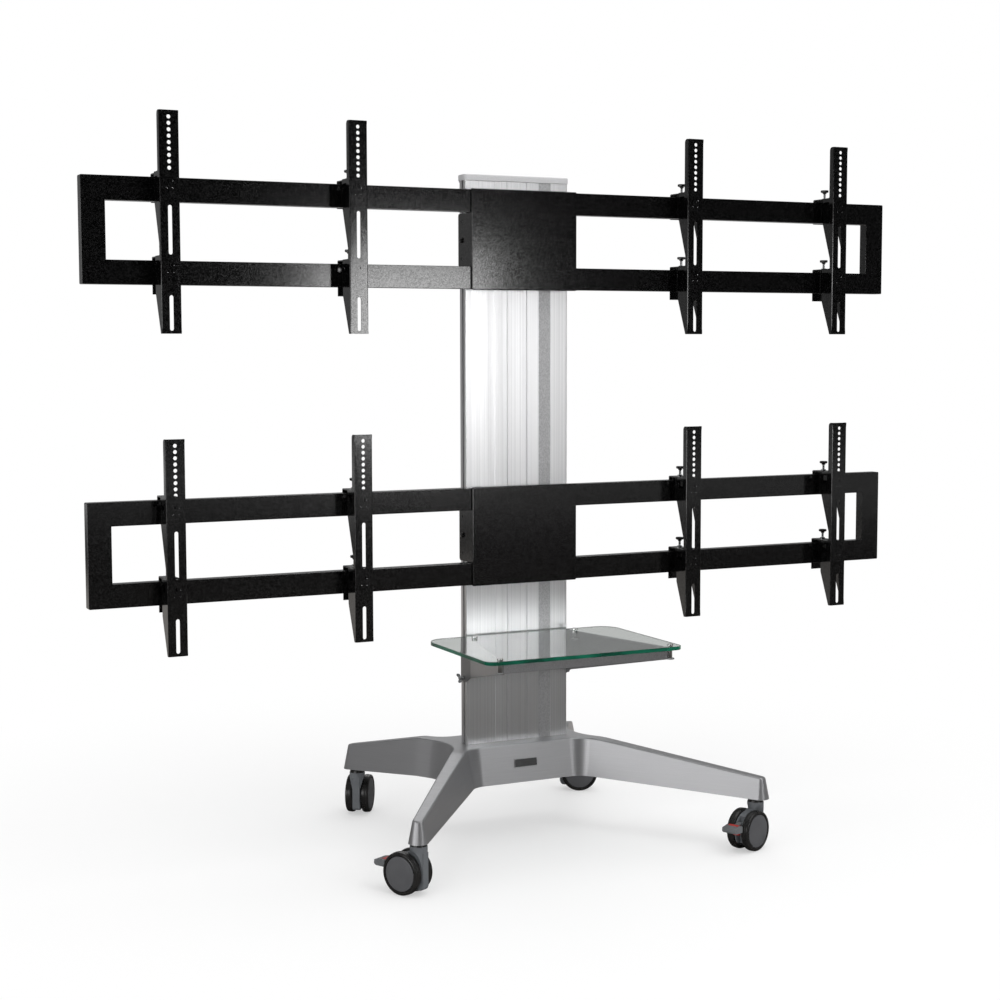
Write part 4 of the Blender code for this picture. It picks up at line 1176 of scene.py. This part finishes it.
def is_top_rim(edge):
    """True where the flat or sloping top meets a wall."""
    upness = sorted(abs(face.normal.z) for face in edge.link_faces)
    return upness[0] < 0.5 and upness[1] > 0.7 and min(v.co.z for v in edge.verts) > RIM_ABOVE


base = hollowed(soften(base_casting(), 0.0035, 5, over=30, chosen=is_top_rim))
print("base casting,", len(base.faces), "faces")
finished("base_casting_body", base, [CASTING], "stand", "base_casting", smooth=30)

# %% [markdown]
# A small dark plate sits on the base's front wall and leans back with its draft. It carries no
# words: a fine raised rim around a bare field. The rim could be a frame laid on top, but two
# insets of the front face and a small push give it in one piece.

# %% Name plate
NAME_PLATE_HEIGHT = 0.1685
NAME_PLATE_GAP = 0.00045


def name_plate():
    """A plate with a raised rim, leaning back with the wall behind it."""
    length, height, thick, rim = 0.058, 0.019, 0.0016, 0.0007
    low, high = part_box("name_plate")
    bm = soften(block((-length / 2, -thick, -height / 2), (length / 2, 0, height / 2)), 0.0004)
    forward = [face for face in bm.faces if face.normal.y < -0.9]
    front = [max(forward, key=lambda face: face.calc_area())]
    bmesh.ops.inset_region(bm, faces=front, thickness=rim)
    painted(bm, 1)
    bmesh.ops.inset_region(bm, faces=front, thickness=0.0003)
    bmesh.ops.translate(bm, vec=(0, 0.0003, 0), verts=front[0].verts[:])
    painted(bm, 0, lambda face: face in front)
    wall = FRONT_FACE - BASE_DRAFT * (BASE_TOP - NAME_PLATE_HEIGHT) - NAME_PLATE_GAP
    return moved(bm, Matrix.Rotation(-math.atan(BASE_DRAFT), 4, "X"),
                 placing((low.x + high.x) / 2, wall, NAME_PLATE_HEIGHT))


finished("name_plate_bare", name_plate(), [PLATE, BLASTED], "stand", "name_plate")
print("name plate at", NAME_PLATE_HEIGHT, "m")

# %% [markdown]
# ## Casters
# A twin-wheel caster is a neck that swivels under the leg, a web between two wheels and, at the
# front, a brake pedal. Each could be drawn where it stands. All are drawn at the origin with +X
# as the way the wheel trails, so that one drawing serves the four, and then turned to the
# heading that each caster has in the photograph.

# %% Caster measures
TRAIL = 0.029
WHEEL_RADIUS = 0.0455
WHEEL_INNER_FACE = 0.0095
WHEEL_WIDTH = 0.019
NECK_RADIUS = 0.0185
COLLAR_FOOT = 0.1045
WEB_HALF = WHEEL_INNER_FACE - 0.0005
PEDAL_PIVOT = (TRAIL + 0.030, 0.060)
HEADINGS = {"front_left": 118.0, "front_right": 202.6, "rear_left": 56.5, "rear_right": -23.0}


def foot_of(word):
    """Where a caster's swivel axis meets the floor, from its joint in the record."""
    joint = next(j for j in frame["joints"] if j["name"] == f"caster_swivel_{word}")
    return Vector((joint["pos_m"][0], joint["pos_m"][1], 0))


for word in HEADINGS:
    print(word, "caster at", [round(number, 4) for number in foot_of(word)])

# %% [markdown]
# The neck is a cylinder that narrows to the web where the wheels begin. Cutting the wheels out
# of it would leave sharp rims. A cylinder with rings is squeezed sideways ring by ring, which
# gives the Y shape seen from the front. A thin collar tops it, painted black as the shadow of
# the leg above.

# %% Forks
NECK_RINGS = (0.101, 0.098, 0.093, 0.089, 0.085, 0.081, 0.077, 0.073, 0.069, 0.065, 0.061, 0.056,
              0.050)
NECK_CLEARANCE, NECK_WIDENING = 0.0022, 0.012
PEDAL_SLOT_HALF = 0.0063


def neck():
    """The neck about the swivel axis, flat between the wheels, its collar painted as the leg's
    shadow.
    """
    profile = [(0, 0.1117), (0.0160, 0.1117), (0.0170, 0.1111), (0.0170, 0.1082),
               (NECK_RADIUS - 0.0006, COLLAR_FOOT), (NECK_RADIUS, COLLAR_FOOT - 0.0008)]
    profile += [(NECK_RADIUS, height) for height in NECK_RINGS] + [(0, NECK_RINGS[-1])]
    bm = turned(profile, 48)
    for vert in bm.verts:
        from_wheel = math.hypot(vert.co.x - TRAIL, vert.co.z - WHEEL_RADIUS) - WHEEL_RADIUS
        room = min(max((from_wheel - NECK_CLEARANCE) / NECK_WIDENING, 0), 1)
        limit = WEB_HALF + 0.0002 + (NECK_RADIUS - WEB_HALF) * room
        if abs(vert.co.y) > limit:
            vert.co.y = math.copysign(limit, vert.co.y)
    # The collar faces take the tyre black: painted shadow of the leg end above them.
    return painted(bm, 2, lambda face: face.calc_center_median().z > COLLAR_FOOT)


def web_outline():
    """Side view of the web: its heel under the neck and its round end between the wheels."""
    heel = [(0, 0.092), (0, 0.021), (0.002, 0.0165), (0.006, 0.0135), (0.012, 0.0125)]
    points = [Vector((-NECK_RADIUS + ahead, height)) for ahead, height in heel]
    points += arc((TRAIL, WHEEL_RADIUS), 0.033, -90, -60, 5)
    return points + arc((TRAIL, WHEEL_RADIUS), 0.040, -40, 72, 20) + [Vector((0.012, 0.092))]


def slotted_web():
    """A web whose middle layer is cut back to make room for the pedal's lever."""
    core = bar(web_outline(), -PEDAL_SLOT_HALF, PEDAL_SLOT_HALF, "Y")
    cut = bmesh.ops.bisect_plane(
        core, geom=core.verts[:] + core.edges[:] + core.faces[:], dist=1e-6,
        plane_co=(PEDAL_PIVOT[0] - 0.0085, 0, 0), plane_no=(1, 0, 0), clear_outer=True)
    rim = [item for item in cut["geom_cut"] if isinstance(item, bmesh.types.BMEdge)]
    bmesh.ops.holes_fill(core, edges=rim)
    cheeks = [bar(web_outline(), side * PEDAL_SLOT_HALF, side * WEB_HALF, "Y") for side in (-1, 1)]
    return together(core, *[soften(cheek, 0.0006) for cheek in cheeks])


def fork(braked):
    """Neck, web, axle and pin of one caster."""
    if braked:
        web = slotted_web()
    else:
        web = soften(bar(web_outline(), -WEB_HALF, WEB_HALF, "Y"), 0.0014, 3)
    axle = turned([(0, 0.0205), (0.0036, 0.0205), (0.0040, 0.0200), (0.0040, -0.0200),
                   (0.0036, -0.0205), (0, -0.0205)], 24)
    moved(axle, placing(TRAIL, 0, WHEEL_RADIUS) @ rotation(90, "X"))
    pin = turned([(0, 0.1378), (0.0056, 0.1378), (0.0060, 0.1370), (0.0060, 0.1080),
                  (0, 0.1080)], 24)
    return together(neck(), web, painted(axle, 1), painted(pin, 1))


print("neck squeezed to", 2 * WEB_HALF, "m between the wheels")

# %% [markdown]
# A wheel is a shallow hub cap inside a soft tyre, whose shoulder is round and has a fine
# groove. A cylinder with bevels would miss the groove, so one profile is turned. The cap is
# of a darker plastic than the housing.

# %% Wheels
CAP_RADIUS = 0.0368


def wheel():
    """One wheel about its axle, with its inner side near z = 0."""
    rim = WHEEL_WIDTH
    profile = [(0, rim - 0.0001), (0.012, rim - 0.0001), (0.026, rim - 0.0003),
               (0.0345, rim - 0.0007), (0.0360, rim - 0.0012), (0.0366, rim - 0.0022),
               (CAP_RADIUS, rim - 0.0034), (0.0371, rim - 0.0030), (0.0376, rim - 0.0014),
               (0.0386, rim - 0.0005)]
    profile += arc((0.0405, rim - 0.0050), 0.0046, 95, 18, 8)
    profile += [(0.0451, rim - 0.0072), (0.0448, rim - 0.0078), (0.0453, rim - 0.0086),
                (0.0455, rim - 0.0098), (0.0455, 0.0058), (0.0451, 0.0040)]
    profile += arc((0.0415, 0.0038), 0.0034, 0, -90, 6)
    profile += [(0.0388, 0.0004), (0.0376, 0.0020), (0.0360, 0.0045), (0.0130, 0.0045),
                (0.0120, 0.0006), (0.0045, 0.0004), (0.0045, 0.0125), (0, 0.0125)]
    bm = turned(profile, 64)
    return painted(bm, 1, lambda face: face.calc_center_median().xy.length < CAP_RADIUS)


print("wheels of", 2 * WHEEL_RADIUS, "m")

# %% [markdown]
# The pedal is a short lever with a broad toe. It could be one carved block, but its side views
# are plain outlines, pulled across and rounded on every edge. A red mark lies on top of the
# toe, and a red tongue hangs below it, next to the wheels.

# %% Brake pedal
TOE_START = WHEEL_RADIUS + TRAIL + 0.0025 - PEDAL_PIVOT[0]


def across(points, half, width, segments=2):
    """A side view of the pedal pulled to both sides, with its edges rounded."""
    return soften(bar(points, -half, half, "Y"), width, segments)


def pedal():
    """The lever, the toe and the red marks, about the pedal's hinge."""
    lever = arc((0, 0), 0.0075, 90, 270, 10)
    lever += [Vector((TOE_START + 0.002, -0.0085)), Vector((TOE_START + 0.002, 0.0045))]
    toe = outline([(TOE_START, -0.010, 0.0008), (TOE_START + 0.024, -0.0095, 0.002),
                   (TOE_START + 0.0285, -0.0055, 0.002), (TOE_START + 0.0275, 0.0025, 0.002),
                   (TOE_START + 0.008, 0.006, 0.004), (TOE_START, 0.0045, 0.0008)], 4)
    mark = [(TOE_START + 0.0012, 0.0049), (TOE_START + 0.0012, 0.0056),
            (TOE_START + 0.0075, 0.0067), (TOE_START + 0.0125, 0.0056),
            (TOE_START + 0.0125, 0.0046)]
    tongue = [(0.006, -0.0090), (0.006, -0.0200), (TOE_START + 0.001, -0.0180),
              (TOE_START + 0.003, -0.0080)]
    return together(across(lever, 0.0058, 0.0006), across(toe, 0.018, 0.0016, 3),
                    painted(across(mark, 0.0125, 0.0003, 1), 1),
                    painted(across(tongue, 0.0060, 0.0006), 1))


print("the toe starts", round(TOE_START, 4), "m ahead of its hinge")

# %% [markdown]
# Only the front casters are braked. The four could be linked to one mesh and turned as objects,
# but a finished piece has to stand at the origin with its place in its mesh. So each pattern is
# copied, moved to its foot and turned to its heading, and every wheel rides on its own body.

# %% Place the casters
fork_patterns = {True: fork(True), False: fork(False)}
wheel_pattern = wheel()
pedal_pattern = pedal()
for word, heading in HEADINGS.items():
    stand_at = placing(*foot_of(word)) @ rotation(heading, "Z")
    braked = word.startswith("front")
    node = f"caster_fork_{word}"
    finished(f"{node}_housing", moved(fork_patterns[braked].copy(), stand_at),
             [HOUSING, ZINC, TYRE_AND_LEG_SHADOW], node, node, smooth=30)
    for side, hand in ((-1, "a"), (1, "b")):
        node = f"caster_wheel_{word}_{hand}"
        axle = placing(TRAIL, side * WHEEL_INNER_FACE, WHEEL_RADIUS) @ rotation(-90 * side, "X")
        finished(f"{node}_tyred", moved(wheel_pattern.copy(), stand_at @ axle), [TYRE_AND_LEG_SHADOW, HUB], node,
                 node)
    if braked:
        node = f"brake_pedal_{word}"
        hinge = placing(PEDAL_PIVOT[0], 0, PEDAL_PIVOT[1])
        finished(f"{node}_lever", moved(pedal_pattern.copy(), stand_at @ hinge),
                 [PEDAL, RELEASE_RED], node, node)
print(len(HEADINGS), "casters")

# %% [markdown]
# ## Camera
# The view was solved from the picture's level rails and upright column: the lens looks 26
# degrees to the right of the stand's depth and 5 degrees down, from 4.1 m away. A camera that
# tracks the stand would be simpler, but it would lose the small roll of the picture.

# %% Camera
CAMERA_PLACE = (-1.86403, -3.70305 + RAIL_FRONT, 1.12646)
YAW, PITCH, ROLL = 25.956, 4.864, -0.113
SENSOR = 36.0
FOCAL_PIXELS, FRAME_PIXELS = 1822.54, 1000

lens = bpy.data.cameras.new("photo_view")
lens.sensor_width = SENSOR
lens.lens = FOCAL_PIXELS / FRAME_PIXELS * SENSOR
lens.clip_end = 60
camera = bpy.data.objects.new("photo_view", lens)
camera.matrix_world = (placing(*CAMERA_PLACE) @ (rotation(-YAW, "Z") @ rotation(90 - PITCH, "X"))
                       @ rotation(ROLL, "Z"))
bpy.context.scene.collection.objects.link(camera)
bpy.context.scene.camera = camera
print("lens of", round(lens.lens, 2), "mm")

# %% [markdown]
# ## Studio
# The stand is photographed on a white sweep. A softbox stands to the right of the camera,
# where the column and the inner arms mirror it. A panel lights it from the left, two hang
# overhead and one stands behind. One bright room would do for the shadows, but black metal
# needs separate lamps, whose reflections draw its edges.

# %% Lamps
def softbox(name, place, towards, size, radiance):
    """A rectangular lamp whose face has a given brightness, whatever its size."""
    lamp = bpy.data.lights.new(name, "AREA")
    lamp.shape = "RECTANGLE"
    lamp.size, lamp.size_y = size
    lamp.energy = radiance * math.pi * size[0] * size[1]
    holder = bpy.data.objects.new(name, lamp)
    holder.location = place
    look = Vector(towards) - Vector(place)
    holder.rotation_euler = look.to_track_quat("-Z", "Y").to_euler()
    bpy.context.scene.collection.objects.link(holder)
    print(name, round(lamp.energy, 1), "W")


softbox("key_softbox", (1.28, -3.75, 1.15), (-0.3, 0, 1.16), (0.76, 0.76), 7.6)
softbox("left_panel", (-3.5, -1.7, 1.0), (0, -0.2, 1.0), (2.6, 1.4), 3.0)
softbox("front_top_panel", (1.2, -2.6, 3.4), (0, 0, 0.7), (2.4, 1.6), 2.1)
softbox("overhead_panel", (0.3, -0.3, 3.6), (0, 0, 0.6), (3.2, 2.6), 0.8)
softbox("back_panel", (1.5, 3.6, 2.6), (0, 0, 0.8), (1.8, 1.4), 1.6)

# %% [markdown]
# The world is the room: soft light that is brighter above and to the front right, a much
# darker room for what gloss mirrors, and plain white for the camera, of which glass shows half.
# A single colour could do none of this, so the kind of ray picks the strength.

# %% World
WHITE_THROUGH_GLASS = 0.5
ROOM_EDGE = 0.7


def value_of(tree, kind, operation, *terms):
    """The number that a Math or Vector Math node makes of its terms."""
    return add_node(tree, kind, dict(enumerate(terms)), operation).outputs["Value"]


def white_share(tree, rays):
    """1 for the camera, and a set share of white for what glass shows."""
    through = value_of(tree, "ShaderNodeMath", "MULTIPLY", rays["Is Transmission Ray"],
                       WHITE_THROUGH_GLASS)
    return value_of(tree, "ShaderNodeMath", "MAXIMUM", rays["Is Camera Ray"], through)


def blended(tree, share, first, second):
    """Two shaders, of which the second has a given share."""
    mix = add_node(tree, "ShaderNodeMixShader", {"Fac": share, 1: first, 2: second})
    return mix.outputs["Shader"]


def room_side(tree, towards, low, high):
    """Strength of the room that grows from low to high towards one side of it."""
    around = add_node(tree, "ShaderNodeTexCoord").outputs["Generated"]
    ahead = value_of(tree, "ShaderNodeVectorMath", "DOT_PRODUCT", around,
                     Vector(towards).normalized())
    return ranged(tree, ahead, -ROOM_EDGE, ROOM_EDGE, low, high)


def new_world():
    """The room, whose strength depends on the ray that meets it."""
    world = bpy.data.worlds.new("studio_room")
    world.use_nodes = True
    tree = world.node_tree
    tree.nodes.clear()
    rays = add_node(tree, "ShaderNodeLightPath").outputs
    soft_light = room_side(tree, (0.7, -0.4, 0.6), 0.30, 0.95)
    gloss_light = room_side(tree, (0.2, 1.0, 0.4), 0.006, 0.22)
    strength = add_node(tree, "ShaderNodeMix", {"Factor": rays["Is Glossy Ray"],
                                                "A": soft_light, "B": gloss_light})
    plain = {"Color": (1, 1, 1, 1)}
    white = add_node(tree, "ShaderNodeBackground", plain)
    room = add_node(tree, "ShaderNodeBackground", {**plain, "Strength": strength.outputs["Result"]})
    seen = blended(tree, white_share(tree, rays), room.outputs["Background"],
                   white.outputs["Background"])
    add_node(tree, "ShaderNodeOutputWorld", {"Surface": seen})
    return world


bpy.context.scene.world = new_world()
print(len(bpy.context.scene.world.node_tree.nodes), "nodes in the world")

# %% [markdown]
# The floor is a matt white sweep near the stand, where it takes the shadows, and fades into
# plain white further out. What gloss sees of it is painted light and shade in its colour: dark
# in front, with a paler ring about 3 m out, and pale behind and to the right, as where a sweep
# is lit. Real lamps and cloths would have to be hidden from the camera, so the floor's own colour
# carries their light and shade.

# %% Floor
FADE_START, FADE_END = 0.5, 1.9
NEAR_WHITE = 0.45
FLOOR_RADIUS = 14.0
BEHIND = (0.6, 0.8, 0)
# Painted light and shade of the floor as gloss sees it, by share of the floor's radius.
FRONT_PAINTED_LIGHT = ((0.0, 0.07), (0.17, 0.04), (0.22, 0.11), (0.34, 0.08), (0.45, 0.01))
BACK_PAINTED_LIGHT = ((0.0, 0.10), (0.08, 0.55), (0.34, 0.55), (0.45, 0.02))


def painted_floor_greys(tree, span, stops):
    """Painted light and shade of the floor by distance, in warm greys as gloss sees them."""
    ramp = add_node(tree, "ShaderNodeValToRGB", {"Fac": span})
    for place, grey in stops:
        ramp.color_ramp.elements.new(place).color = (grey, grey * 0.95, grey * 0.90, 1)
    return ramp.outputs["Color"]


def painted_floor_light(tree, where, distance):
    """What gloss shows of the floor: painted light and shade from its front and back greys."""
    span = value_of(tree, "ShaderNodeMath", "DIVIDE", distance, FLOOR_RADIUS)
    behind = value_of(tree, "ShaderNodeVectorMath", "DOT_PRODUCT", where, BEHIND)
    mirrored = add_node(tree, "ShaderNodeMix")
    mirrored.data_type = "RGBA"
    tree.links.new(ranged(tree, behind, 0.3, 1.5, course="SMOOTHSTEP"), mirrored.inputs["Factor"])
    tree.links.new(painted_floor_greys(tree, span, FRONT_PAINTED_LIGHT), mirrored.inputs[6])
    tree.links.new(painted_floor_greys(tree, span, BACK_PAINTED_LIGHT), mirrored.inputs[7])
    return mirrored.outputs[2]


def white_sweep():
    """The floor's finish: matt near the stand, plain white further out, with painted light for
    gloss.
    """
    paper = bpy.data.materials.new("white_sweep")
    paper.use_nodes = True
    tree = paper.node_tree
    tree.nodes.clear()
    rays = add_node(tree, "ShaderNodeLightPath").outputs
    where = add_node(tree, "ShaderNodeTexCoord").outputs["Object"]
    distance = value_of(tree, "ShaderNodeVectorMath", "LENGTH", where)
    matt = add_node(tree, "ShaderNodeBsdfDiffuse", {"Color": (0.92, 0.92, 0.92, 1)})
    dim = add_node(tree, "ShaderNodeBsdfDiffuse", {"Color": painted_floor_light(tree, where, distance)})
    glow = add_node(tree, "ShaderNodeEmission")
    fade = ranged(tree, distance, FADE_START, FADE_END, NEAR_WHITE, course="SMOOTHSTEP")
    share = value_of(tree, "ShaderNodeMath", "MULTIPLY", white_share(tree, rays), fade)
    lit = blended(tree, rays["Is Glossy Ray"], matt.outputs["BSDF"], dim.outputs["BSDF"])
    seen = blended(tree, share, lit, glow.outputs["Emission"])
    add_node(tree, "ShaderNodeOutputMaterial", {"Surface": seen})
    return paper


bm = bmesh.new()
bmesh.ops.create_circle(bm, cap_ends=True, segments=64, radius=FLOOR_RADIUS)
floor_mesh = bpy.data.meshes.new("studio_floor")
bm.to_mesh(floor_mesh)
bm.free()
floor_mesh.materials.append(white_sweep())
floor = bpy.data.objects.new("studio_floor", floor_mesh)
bpy.context.scene.collection.objects.link(floor)
bpy.context.scene.view_settings.view_transform = "Standard"
print("floor", 2 * FLOOR_RADIUS, "m across")
